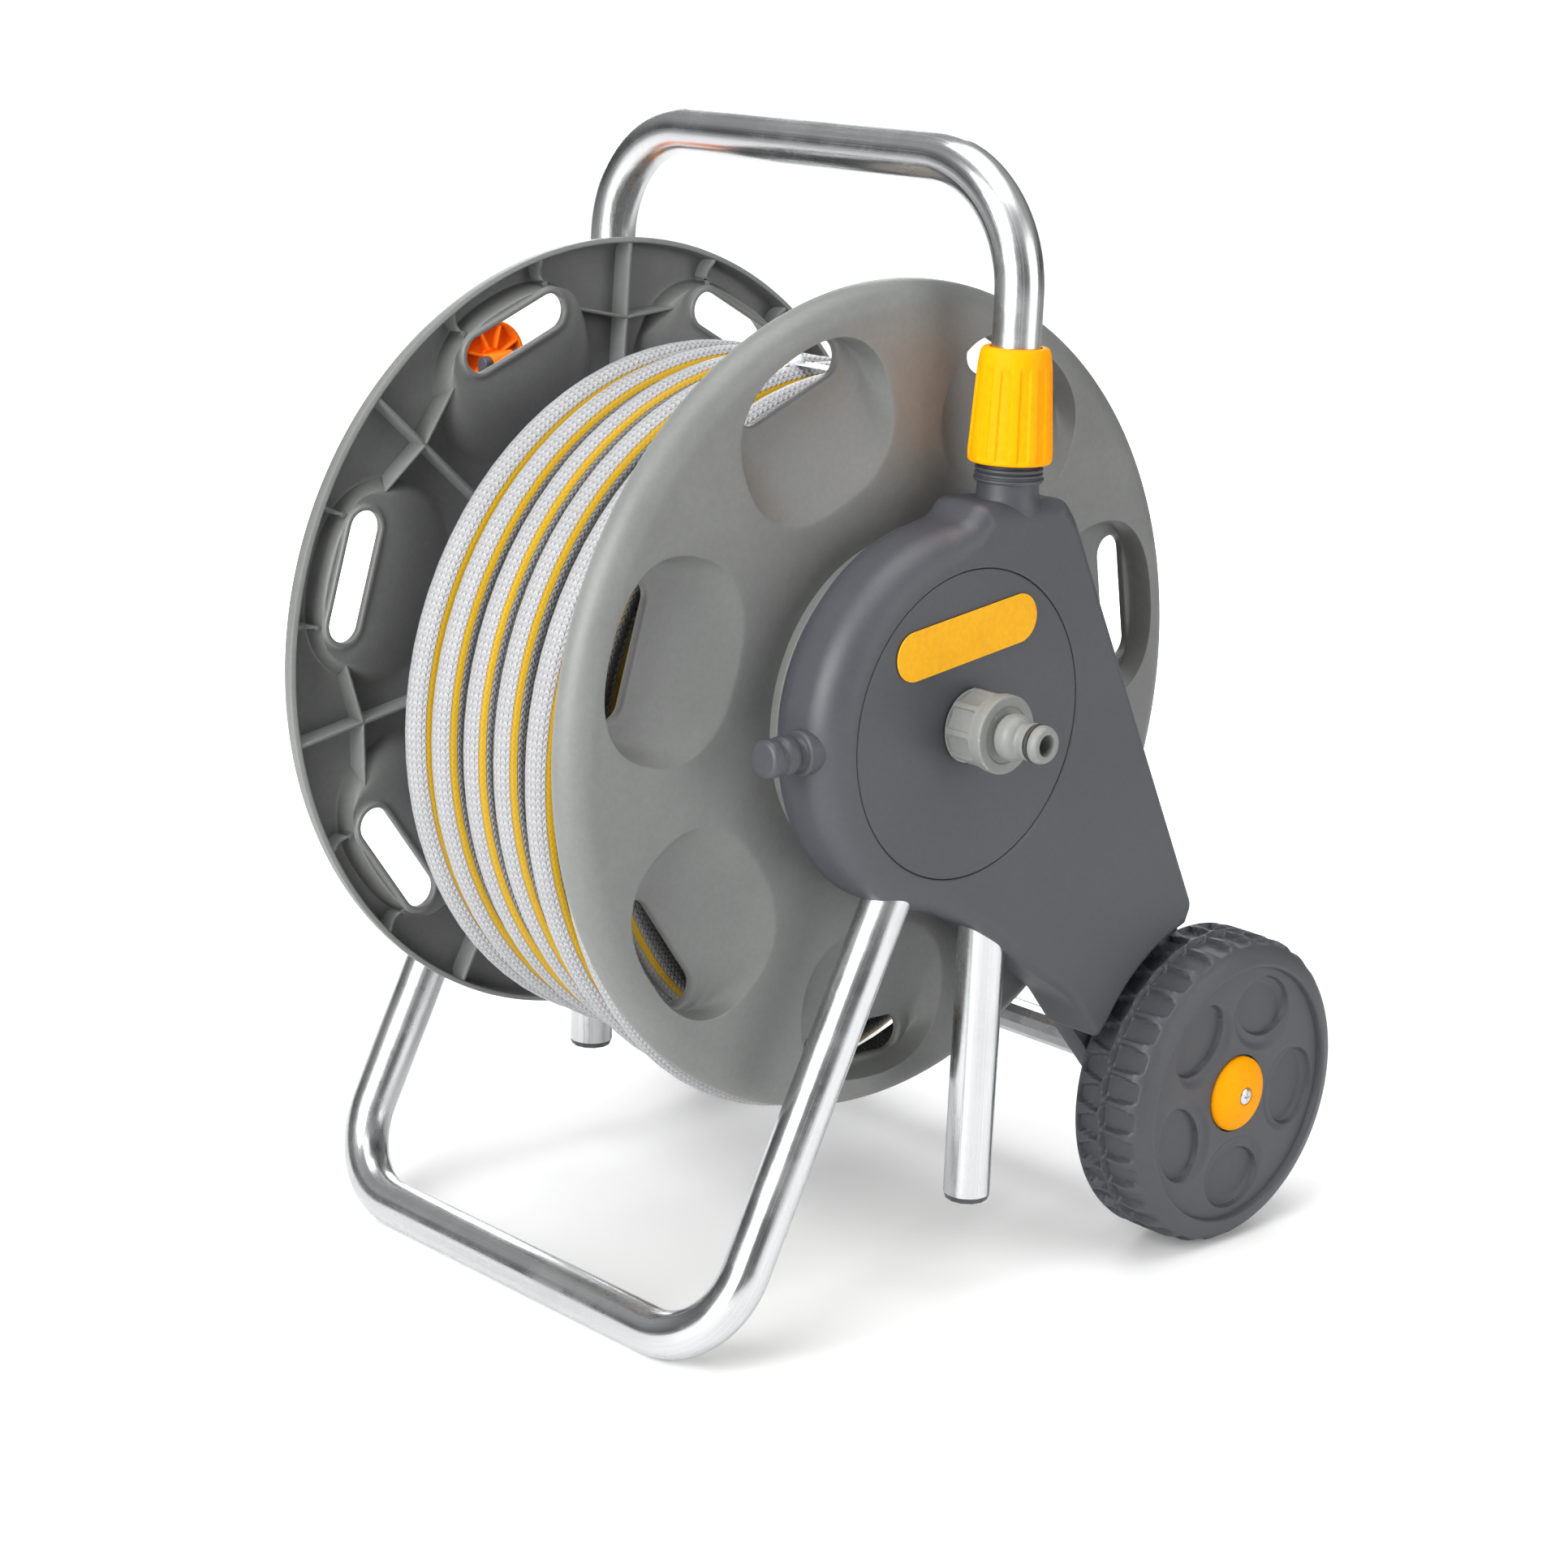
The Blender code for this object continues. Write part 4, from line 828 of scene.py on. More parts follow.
def web_to_slot(sign, half):
    """The straight web from a slot's end to the web between two pockets."""
    start = np.array([0.1600, sign * (SLOT_HALF[1] + 0.0016)])
    end = 0.1525 * np.array([np.cos(half), sign * np.sin(half)])
    t = np.linspace(0, 1, 20)[:, None]
    line = start * (1 - t) + end * t
    way = (np.abs(line[:, 1]) - FLOOR_HALF[1] - 0.0022) / (POCKET_HALF[1] - FLOOR_HALF[1])
    skin = sizes().skin
    high = FLOOR_Y - skin * 0.6 + (FACE_Y - FLOOR_Y) * (1 - np.cos(np.pi / 2 * np.clip(way, 0, 1)))
    return wall_between(line, LIP_Y + 0.0008, high, 0.0018)


def gusset(sign):
    """The small web from a slot's lip out to the rim."""
    angle = sign * np.radians(8.6)
    r = np.linspace(SLOT_MID + SLOT_HALF[0] + 0.0016, FLANGE_R - 0.0022, 14)
    line = np.stack([r * np.cos(angle), r * np.sin(angle)], 1)
    dip = 0.0030 * np.sin(np.pi * np.linspace(0, 1, 14)) ** 2
    high = np.where(r > 0.1785, skin_back(r), FLOOR_Y - 0.0014)
    return wall_between(line, LIP_Y + 0.0008 + dip, high, 0.0018)


def make_cheeks():
    surfaces = cheek_surfaces()
    for side, label in SIDES:
        piece(f"cheek_{label}", on_side(surfaces, side), drum_finish(), "drum",
              f"flange_{label}", sharp=40)


def make_barrel():
    """The barrel between the cheeks: a tube with seven shallow ribs along it."""
    end = float(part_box("drum_core")[1][1])
    radius = float(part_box("drum_core")[1][2]) - DRUM_Z
    ribs = lambda t, r, a: r - np.where(r > radius - 0.001, 0.0012 * smooth((0.93 - np.cos(7 * a)) / 0.05), 0)
    profile = soften([(-end, radius - 0.003), (-end, radius), (end, radius), (end, radius - 0.003)],
                     [0, 0.0008, 0.0008, 0], 4, closed=True)
    return piece("barrel", [lathe(profile, DRUM, sides=168, closed=True, wave=ribs)], drum_finish(), "drum",
                 "drum_core")


# ---- the side panels ----
PANEL_LOW, PANEL_HIGH = 0.1205, 0.1520
PANEL_WALL = 0.003
SEAT_R = 0.0708
WHEEL_AT = np.array([WHEEL_X - DRUM_X, WHEEL_Z - DRUM_Z])


def arc_points(centre, radius, start, end, steps):
    a = np.radians(np.linspace(start, end, steps + 1))
    return np.stack([centre[0] + radius * np.cos(a), centre[1] + radius * np.sin(a)], 1)


def panel_outline():
    """(x, z) from the drum axis, anticlockwise, then the rounding of the outer edge at each point."""
    corners = [(0.1680, -0.1130, 4, 4), (0.0640, 0.0880, 4, 5), (0.0595, 0.0955, 3, 9), (0.0050, 0.0975, 4, 10),
               (-0.0005, 0.0900, 5, 12)]
    dome = [(x, z, 0, 16) for x, z in arc_points((0, 0), 0.088, 99, 262, 70)]
    low = [(0.0180, -0.0985, 5, 7), (0.0480, -0.1215, 8, 6), (0.0850, -0.1465, 6, 5), (0.1035, -0.1690, 3, 3.5)]
    arch = [(x, z, 0, 2.5) for x, z in arc_points(WHEEL_AT, 0.088, 148, 104, 16)]
    table = np.array(corners + dome + low + arch)
    points, rounding = [], []
    count = len(table)
    for i in range(count):
        before, here, after = (table[(i + k) % count, :2] for k in (-1, 0, 1))
        if table[i, 2] == 0:
            points.append(here[None])
            rounding.append(table[i:i + 1, 3])
            continue
        back, ahead = before - here, after - here
        reach = [min(table[i, 2] / 1000, 0.48 * np.linalg.norm(v)) for v in (back, ahead)]
        start, end = here + back / np.linalg.norm(back) * reach[0], here + ahead / np.linalg.norm(ahead) * reach[1]
        t = np.linspace(0, 1, 7)[:, None]
        points.append((1 - t) ** 2 * start + 2 * t * (1 - t) * here + t ** 2 * end)
        rounding.append(np.full(7, table[i, 3]))
    points, rounding = np.concatenate(points), np.concatenate(rounding) / 1000
    closed = np.concatenate([points, points[:1]])
    walked = np.concatenate([[0], np.cumsum(np.linalg.norm(np.diff(closed, axis=0), axis=1))])
    even = np.linspace(0, walked[-1], 720, endpoint=False)
    fine = np.stack([np.interp(even, walked, closed[:, i]) for i in range(2)], 1)
    edge = np.interp(even, walked, np.append(rounding, rounding[0]))
    kernel = np.hanning(23) / np.hanning(23).sum()
    edge = np.convolve(np.concatenate([edge[-11:], edge, edge[:11]]), kernel, "valid")
    return fine, edge


def distance_inside(points, outline):
    """The distance from each point to a closed outline."""
    a, b = outline, np.roll(outline, -1, 0)
    span = b - a
    flat = points.reshape(-1, 2)
    best = np.full(len(flat), 1e9)
    for start in range(0, len(a), 60):
        p, s = a[start:start + 60], span[start:start + 60]
        rel = flat[:, None] - p
        t = np.clip((rel * s).sum(-1) / (s * s).sum(-1), 0, 1)
        best = np.minimum(best, np.linalg.norm(rel - t[..., None] * s, axis=-1).min(1))
    return best.reshape(points.shape[:-1])


def panel_shell():
    """The moulded panel as one closed skin: y = outer face less the drop of a quarter circle near the outline."""
    outline, edge = panel_outline()
    angle = np.arctan2(outline[:, 1], outline[:, 0])
    seat = SEAT_R * np.stack([np.cos(angle), np.sin(angle)], 1)
    share = np.concatenate([np.linspace(0, 0.30, 26) ** 1.5 / 0.30 ** 0.5, np.linspace(0.30, 1, 22)[1:]])
    flat = outline[None] * (1 - share[:, None, None]) + seat[None] * share[:, None, None]
    depth = distance_inside(flat, outline)
    drop = edge - np.sqrt(np.maximum(edge ** 2 - np.maximum(edge - depth, 0) ** 2, 0))
    top = np.concatenate([flat, (PANEL_HIGH - drop)[..., None]], -1)
    rows = [np.column_stack([outline * 0.995, np.full(len(outline), PANEL_LOW)])]
    for k in (0.0006, 0.006):
        rows.append(np.column_stack([outline, np.full(len(outline), PANEL_LOW + k)]))
    rows += list(top)
    length = np.linalg.norm(outline, axis=1, keepdims=True)
    inner = outline * (1 - PANEL_WALL * 1.15 / length)
    for radius, y in ((SEAT_R - 0.0003, PANEL_HIGH - 0.0003), (SEAT_R - 0.0003, PANEL_HIGH - 0.0019),
                      (0.064, PANEL_HIGH - 0.0019),
                      (0.064, PANEL_HIGH - PANEL_WALL)):
        rows.append(np.column_stack([seat * radius / SEAT_R, np.full(len(seat), y)]))
    for k in (0.4, 0.8):
        rows.append(np.column_stack([seat * 0.064 / SEAT_R * (1 - k) + inner * 0.93 * k,
                                     np.full(len(seat), PANEL_HIGH - PANEL_WALL - 0.014 * k)]))
    for y in (PANEL_LOW + 0.008, PANEL_LOW):
        rows.append(np.column_stack([inner, np.full(len(seat), y)]))
    points = np.stack(rows)
    world = np.stack([DRUM_X + points[..., 0], points[..., 2], DRUM_Z + points[..., 1]], -1)
    return grid(world, wrap_u=True, wrap_v=True)


def leg_plate():
    """The flat leg behind the wheel, and the boss round the axle."""
    outline = np.concatenate([[(0.1740, -0.1230), (0.1640, -0.1080), (0.0900, -0.1000), (0.0860, -0.1475)],
                              arc_points(WHEEL_AT, 0.036, 212, 390, 60)])
    outline = soften(outline, 0.004, 4, closed=True)
    place = lambda a, b, h: np.stack([DRUM_X + a, 0 * a + h, DRUM_Z + b], -1)
    plate_surface = plate(outline, PANEL_LOW + 0.0001, 0.1340, place, 0.0012)
    boss = soften([(0.133, 1e-6), (0.133, 0.0150), (0.1364, 0.0140), (0.1364, 0.0094), (0.1345, 0.0094),
                   (0.1345, 1e-6)], [0, 0, .0008, .0008, 0, 0], 3)
    return [plate_surface, lathe(boss, (WHEEL_X, 0, WHEEL_Z), sides=40)]


def neck():
    """The neck round the handle tube, flared where it meets the panel."""
    top = float(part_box("neck_thread_far")[1][2]) + 0.001
    profile = [(0.355, 0.0150), (0.3795, 0.0150), (0.3845, 0.0140), (top - 0.0006, 0.0140), (top, 0.0134),
               (top, 0.0116), (0.3700, 0.0116), (0.355, 0.0116)]
    flare = soften(profile, [0, 0.002, 0.003, 0.0006, 0.0006, 0.0005, 0, 0], 4, closed=True)
    return lathe(flare, (HANDLE_X, LEG_Y, 0), (0, 0, 1), 56, closed=True)


def make_panels():
    surfaces = [panel_shell(), neck(), *leg_plate()]
    for side, label in SIDES:
        piece(f"panel_{label}", on_side(surfaces, side), panel_finish(), "frame",
              f"side_panel_{label}", sharp=50)


def make_backs():
    """The flat plates that close the panels' drum sides, each with a round hole and a raised ring."""
    outline, _ = panel_outline()
    angle = np.arctan2(outline[:, 1], outline[:, 0])
    unit = np.stack([np.cos(angle), np.sin(angle)], 1)
    length = np.linalg.norm(outline, axis=1, keepdims=True)
    inner = outline * (1 - 0.0042 / length)
    low, high = PANEL_LOW + 0.0002, PANEL_LOW + 0.0018
    rows = [(unit * 0.0184, high), (unit * 0.0184, low + 0.0003), (unit * 0.0187, low), (unit * 0.030, low),
            (unit * 0.0304, low + 0.0006),
            (unit * 0.0320, low + 0.0006), (unit * 0.0324, low), (inner * 0.5 + unit * 0.0162, low),
            (inner * 0.995, low), (inner, low + 0.0004), (inner, high)]
    points = np.stack([np.column_stack([xy, np.full(len(xy), y)]) for xy, y in rows])
    world = np.stack([DRUM_X + points[..., 0], points[..., 2], DRUM_Z + points[..., 1]], -1)
    surfaces = [grid(world, wrap_u=True, wrap_v=True)]
    for side, label in SIDES:
        piece(f"back_plate_{label}", on_side(surfaces, side), panel_finish(), "frame",
              f"panel_back_{label}")


def make_discs():
    """The round covers in the panels' faces: flat, with a softened edge, and a round hole."""
    for side, label in SIDES:
        hole = 0.0082 if side < 0 else 0.0162
        high, low = PANEL_HIGH - 0.0001, PANEL_HIGH - 0.0016
        outer = SEAT_R - 0.0006
        profile = soften([(low, hole), (high, hole), (high, outer - 0.0006), (high - 0.0003, outer), (low, outer)],
                         [0, 0.0003, 0.0004, 0.0003, 0], 3, closed=True)
        disc = lathe(profile, DRUM, sides=160, closed=True)
        piece(f"cover_{label}", on_side([disc], side), panel_finish(), "frame",
              f"face_disc_{label}")


def make_badge():
    """A blank raised plate with round ends: an outline of a stadium, tilted, with a softened rim."""
    low, high = (np.array(v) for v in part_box("badge_plate"))
    tilt = np.radians(8.3)
    middle_at = (low + high) / 2
    half_long, half_wide = 0.0445, 0.0112
    a = np.linspace(-np.pi / 2, np.pi / 2, 25)
    right = np.stack([half_long - half_wide + half_wide * np.cos(a), half_wide * np.sin(a)], 1)
    outline = np.concatenate([right, -right])

    def place(a, b, h):
        return np.stack([middle_at[0] + a * np.cos(tilt) - b * np.sin(tilt), 0 * a - h,
                         middle_at[2] + a * np.sin(tilt) + b * np.cos(tilt)], -1)

    raised = plate(outline, -high[1], -low[1] - 0.0002, place, 0.0004)
    finish = moulding("badge yellow", (0.82, 0.40, 0.015), 0.55, 0.05, 0.0, specular=0.1)
    piece("badge", [raised], finish, "frame", "badge_plate")


def make_peg():
    """The parking peg on the panel's edge: a turned shape like a connector's nipple."""
    low, high = (np.array(v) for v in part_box("parking_peg"))
    at = np.array([high[0] - 0.012, (low[1] + high[1]) / 2, (low[2] + high[2]) / 2])
    profile = [(-0.012, 1e-6), (-0.012, 0.0102), (0.0030, 0.0102), (0.0036, 0.0095), (0.0040, 0.0070),
               (0.0065, 0.0068), (0.0090, 0.0088),
               (0.0130, 0.0089), (0.0142, 0.0084), (0.0150, 0.0074), (0.0175, 0.0074), (0.0179, 0.0086),
               (0.0222, 0.0086), (0.0235, 0.0070), (0.0235, 1e-6)]
    profile = soften(profile, [0, 0, .0008, .0004, .001, .0015, .0015, .001, .0008, .0005, .0003, .0003, .0012, .0008,
                               0], 4)
    piece("peg", [lathe(profile, at, (-1, 0, 0), 56)], panel_finish(), "frame", "parking_peg")


# ---- tubes, collars, inlet ----
def tube_piece(name, route, up, body, node, finish):
    """A bent tube with an open bore: outer skin, both end rims and the inner skin as one closed surface."""
    radius, wall = 0.011, 0.0015
    tangent = np.gradient(route, axis=0)
    tangent /= np.linalg.norm(tangent, axis=1)[:, None]
    across = np.broadcast_to(np.asarray(up, float) / np.linalg.norm(up), route.shape)
    side = np.cross(tangent, across)
    side /= np.linalg.norm(side, axis=1)[:, None]
    across = np.cross(side, tangent)
    order = np.concatenate([[0], np.arange(len(route)), [len(route) - 1] * 2, np.arange(len(route))[::-1]])
    radii = np.concatenate([[radius - 0.0005], np.full(len(route), radius), [radius - 0.0005, radius - wall],
                            np.full(len(route), radius - wall)])
    length = np.concatenate([[0], np.cumsum(np.linalg.norm(np.diff(route, axis=0), axis=1))])
    uv = lambda i, j: (length[order[i % len(order)]], j / 48)
    surface = sweep(route[order], radii, across[order], side[order], 48, wrap=True, uv=uv)
    return piece(name, [surface], finish, body, node, sharp=50)


def make_tubes():
    top = float(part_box("handle_tube")[1][2]) - 0.011
    low = float(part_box("handle_tube")[0][2])
    corners = [(HANDLE_X, -LEG_Y, low), (HANDLE_X, -LEG_Y, top), (HANDLE_X, LEG_Y, top), (HANDLE_X, LEG_Y, low)]
    tube_piece("handle", bent_route(corners, 0.056), (1, 0, 0), "handle", "handle_tube", tube_finish())
    foot_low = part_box("foot_loop")[0]
    foot_x, slope, head = float(foot_low[0]) + 0.011, 0.487, 0.243
    upper = foot_x + (head - 0.011) * slope
    corners = [(upper, -LEG_Y, head), (foot_x, -LEG_Y, 0.011), (foot_x, LEG_Y, 0.011), (upper, LEG_Y, head)]
    normal = (-1.0, 0, slope)
    tube_piece("foot", bent_route(corners, 0.042), normal, "frame", "foot_loop", tube_finish())


def make_collars():
    """The twist collars: a tapered sleeve with twelve shallow flutes that fade out below a smooth rounded top."""
    low, high = float(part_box("collar_near")[0][2]), float(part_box("collar_near")[1][2])
    profile = soften([(low, 0.0164), (low, 0.0186), (low + 0.0035, 0.0190), (high - 0.0080, 0.0166),
                      (high - 0.0015, 0.0155), (high, 0.0142),
                      (high, 0.0117), (high - 0.004, 0.0117), (high - 0.006, 0.0140), (low + 0.004, 0.0156)],
                     [0.0004, 0.0012, 0.003, 0.004, 0.002, 0.0015, 0.0005, 0.0005, 0.001, 0.001], 5, closed=True)
    spaced = []
    for here, after in zip(profile, np.roll(profile, -1, 0)):
        parts = max(1, int(np.linalg.norm(after - here) / 0.0016))
        spaced += [here + (after - here) * k / parts for k in range(parts)]

    def flutes(t, r, a):
        reach = smooth((high - 0.0075 - t) / 0.0035) * smooth((r - 0.0150) / 0.0008) * smooth((t - low - 0.0008) / 0.002)
        return r - 0.0010 * reach * smooth((0.42 + np.cos(12 * a)) / 0.75)

    for side, label in SIDES:
        body = lathe(spaced, (HANDLE_X, side * LEG_Y, 0), (0, 0, 1), 240, closed=True, wave=flutes)
        piece(f"collar_{label}_sleeve", [body], yellow_finish(), f"collar_{label}", f"collar_{label}")
        base = float(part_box(f"neck_thread_{label}")[0][2])
        rings = [(base, 0.0143)]
        for k, radius in enumerate((0.0158, 0.0153, 0.0153)):
            rings += [(base + 0.0023 * k, radius - 0.0005), (base + 0.0023 * k + 0.0007, radius),
                      (base + 0.0023 * k + 0.0015, radius), (base + 0.0023 * k + 0.0019, radius - 0.0010)]
        rings += [(base + 0.0070, 0.0143)]
        thread = lathe(rings, (HANDLE_X, side * LEG_Y, 0), (0, 0, 1), 56, closed=True)
        piece(f"thread_{label}", [thread], panel_finish(), "frame", f"neck_thread_{label}")


def make_inlet():
    """The water inlet: a nut with eight scallops, a flat collar, a ball-shouldered nipple with a seal, and its bore."""
    tip = float(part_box("inlet_nipple")[0][1])
    steps = np.linspace(0, 1, 26)
    nut = [(0.1526, 0.0079), (0.1526, 0.0168)] + [(0.1530 + 0.0160 * k, 0.0172) for k in steps]
    nut += soften([(0.1692, 0.0172), (0.1694, 0.0178), (0.1736, 0.0178), (0.1742, 0.0172), (0.1742, 0.0130),
                   (0.1737, 0.0126), (0.1737, 0.0079)],
                  [0.0001, 0.0002, 0.0006, 0.0004, 0.0004, 0.0003, 0], 3).tolist()

    def scallops(t, r, a):
        across = np.abs(((8 * a / (2 * np.pi)) % 1) - 0.5) * 2
        arch = 0.1672 - 0.0020 * (1 - np.sqrt(np.maximum(1 - across ** 2, 0)))
        inside = smooth((0.84 - across) / 0.10) * smooth((arch - t) / 0.0009) * (r > 0.0171) * (t < 0.1691)
        hollow = 0.0009 + 0.0016 * np.cos(np.clip(across, 0, 1) * np.pi / 2)
        return r - inside * hollow

    at = DRUM
    nut_surface = lathe(nut, at, (0, -1, 0), 256, closed=True, wave=scallops)
    piece("inlet_ring", [nut_surface], connector_finish(), "frame", "inlet_nut")
    reach = -tip
    outer = [(0.1300, 0.0074), (0.1743, 0.0074), (0.1747, 0.0092), (0.1760, 0.0102), (0.1780, 0.0105),
             (0.1805, 0.0105), (0.1822, 0.0099), (0.1840, 0.0086),
             (0.1852, 0.0072), (0.1880, 0.0070), (0.1883, 0.0085), (0.1905, 0.0085), (0.1907, 0.0068),
             (0.1933, 0.0068), (0.1936, 0.0086), (0.1955, 0.0086),
             (0.1968, 0.0082), (reach, 0.0074), (reach, 0.0050), (reach - 0.0010, 0.0047), (0.1300, 0.0047)]
    soft = [0, .0003, .001, .001, .001, .001, .001, .001, .001, .0006, .0003, .0003, .0003, .0003, .0003, .0006, .001,
            .0006, .0004, .0004, 0]
    piece("inlet_nipple_fine", [lathe(soften(outer, soft, 4, closed=True), at, (0, -1, 0), 72, closed=True)],
          connector_finish(), "frame", "inlet_nipple")
    a = np.linspace(0, 2 * np.pi, 17)[:-1]
    seal = np.stack([0.1920 + 0.0012 * np.cos(a), 0.0077 + 0.0011 * np.sin(a)], 1)
    piece("inlet_o_ring", [lathe(seal, at, (0, -1, 0), 64, closed=True)], rubber_finish(), "frame", "inlet_seal")


# ---- wheels ----
WHEEL_SIDES = 512
PIT_ANGLES = (68.0, -8.0, -87.0, -156.0, 133.0)


def tyre_surface():
    """The wheel: radius on a grid of (across, round), with two rows of scoops pressed into the tread.

    A scoop is a mask of smooth steps that is wide at the middle land and narrows to a round end. Inside
    it the radius falls to one floor, so a scoop runs out where the shoulder drops below that floor. The
    rows are half a pitch apart.
    """
    count = sizes().tread_count
    radius = WHEEL_Z
    tread_y = np.concatenate([np.linspace(0.1370, 0.1392, 6), np.linspace(0.1397, 0.1544, 21),
                              np.linspace(0.1551, 0.1650, 12)])
    shoulder = soften([(0.1650, radius - 0.0001), (0.1700, radius - 0.0009), (0.1747, radius - 0.0050),
                       (0.1768, radius - 0.0108), (0.1770, 0.0652),
                       (0.1762, 0.0645), (0.1740, 0.0640)], [0, .004, .004, .003, .0008, .0008, 0], 6)[1:]
    roll = np.where(tread_y < 0.1405, radius - 0.0009 * ((0.1405 - tread_y) / 0.0035) ** 2, radius)
    profile = [(0.1450, 0.0700), (0.1372, 0.0704), (0.1368, 0.0712), (0.1368, 0.0740), (0.1369, radius - 0.0022)]
    profile += list(zip(tread_y, roll)) + shoulder.tolist()
    profile = np.array(profile)
    a = 2 * np.pi * np.arange(WHEEL_SIDES)[None] / WHEEL_SIDES
    y, r = profile[:, :1], profile[:, 1:]
    wide, floor = 0.0071, radius - 0.0031

    def row(land, tip, phase):
        place = ((a * count / (2 * np.pi) + phase) % 1 - 0.5) * 2 * np.pi * radius / count
        length = abs(tip - land)
        way = (y - land) * np.sign(tip - land)
        arch = np.maximum(1 - (place / wide) ** 2, 0)
        inside = smooth((wide * (1 - 0.30 * np.clip(way / length, 0, 1) ** 2) - np.abs(place)) / 0.0014)
        return inside * smooth((way + 0.0012 * arch) / 0.0010) * smooth((length - way + 0.0040 * arch) / 0.0012)

    press = np.maximum(row(0.1508, 0.1415, 0.0), row(0.1536, 0.1735, 0.5))
    r = r - press * np.maximum(r - floor, 0) * (r > radius - 0.006)
    return np.stack([r * np.cos(a), y + 0 * a, r * np.sin(a)], -1)


def disc_face():
    """The wheel's outer face: polar grid whose y dips in five oval pits in soft dishes, round the hub's well."""
    radii = np.concatenate([[0.0088, 0.0190, 0.0194, 0.0198, 0.0204], np.linspace(0.0212, 0.0630, 88), [0.0640]])
    sides = WHEEL_SIDES
    a = 2 * np.pi * np.arange(sides)[None] / sides
    r = radii[:, None]
    x, z = r * np.cos(a), r * np.sin(a)
    y = np.full(x.shape, 0.1740)
    for angle in np.radians(PIT_ANGLES):
        out, around = x * np.cos(angle) + z * np.sin(angle) - 0.0450, z * np.cos(angle) - x * np.sin(angle)
        y -= 0.0015 * smooth((1 - np.hypot((out + 0.0040) / 0.0190, around / 0.0235)) / 0.24)
        y -= 0.0024 * smooth((1 - np.hypot(out / 0.0152, around / 0.0200)) / 0.060)
    y = np.where(r < 0.0196, 0.1718, y)
    return np.stack([x, y, z], -1)


def make_wheels():
    tyre, face = tyre_surface(), disc_face()
    back_profile = [(0.1718, 0.0088), (0.1372, 0.0088), (0.1368, 0.0094), (0.1368, 0.0240), (0.1374, 0.0246),
                    (0.1450, 0.0262), (0.1450, 0.0700)]
    at = np.array([WHEEL_X, 0, WHEEL_Z])
    sides = 2 * np.pi * np.arange(WHEEL_SIDES) / WHEEL_SIDES
    back = np.array([[(r * np.cos(q), y, r * np.sin(q)) for q in sides] for y, r in back_profile])
    sheets = [grid(tyre + at, wrap_v=True), flipped(grid(face + at, wrap_v=True)), grid(back + at, wrap_v=True)]
    cap_profile = soften([(0.1724, 0.0188), (0.1752, 0.0188), (0.1768, 0.0176), (0.1793, 0.0130), (0.1803, 0.0070),
                          (0.1803, 0.0046), (0.1792, 0.0045),
                          (0.1792, 0.0026), (0.1724, 0.0026)],
                         [0.0003, .0006, .0022, .004, .002, .0004, .0003, .0003, 0], 5, closed=True)
    for side, label in SIDES:
        both = on_side(sheets, side)
        piece(f"wheel_{label}_fine", both, moulding("wheel slate", (0.056, 0.058, 0.066), 0.46, 0.30, 0.0),
              f"wheel_{label}", f"wheel_{label}",
              sharp=40)
        cap = [lathe(cap_profile, at, sides=72, closed=True)]
        piece(f"cap_{label}", on_side(cap, side), yellow_finish(), f"wheel_{label}", f"hub_cap_{label}")
        screw = [cross_screw(at + (0, 0.1795, 0), 0.0041)]
        piece(f"hub_screw_{label}", on_side(screw, side), screw_finish(), f"wheel_{label}", f"wheel_screw_{label}")


def cross_screw(at, radius):
    """A pan head along +Y with a cross recess: height falls by smooth steps near two crossed lines."""
    radii = np.concatenate([[1e-6], np.linspace(0.06, 0.86, 18), [0.92, 0.97, 1.0]]) * radius
    a = 2 * np.pi * np.arange(96)[None] / 96
    r = radii[:, None]
    x, z = r * np.cos(a), r * np.sin(a)
    top = 0.0016 * np.sqrt(np.maximum(1 - (r / radius * 0.93) ** 2, 0))
    arm = np.minimum(np.abs(x), np.abs(z))
    cut = smooth((0.00050 - arm) / 0.0003) * smooth((0.56 * radius - r) / 0.0005)
    y = top - 0.0012 * cut * (0.4 + 0.6 * smooth((0.6 * radius - r) / (0.6 * radius)))
    head = np.stack([x, y, z], -1)
    base = np.stack([head[-1] * (1, 0, 1) - (0, 0.0006, 0), head[-1] * (1e-4, 0, 1e-4) - (0, 0.0006, 0)])
    return flipped(grid(np.concatenate([head, base]) + np.asarray(at), wrap_v=True))


# ---- crank ----
CRANK_ANGLE = np.radians(98.0)
CRANK_OUT = np.array([np.cos(CRANK_ANGLE), 0, np.sin(CRANK_ANGLE)])
CRANK_SIDE = np.array([-CRANK_OUT[2], 0, CRANK_OUT[0]])
PIN = DRUM + CRANK_OUT * 0.126 + np.array([0, 0.161, 0])


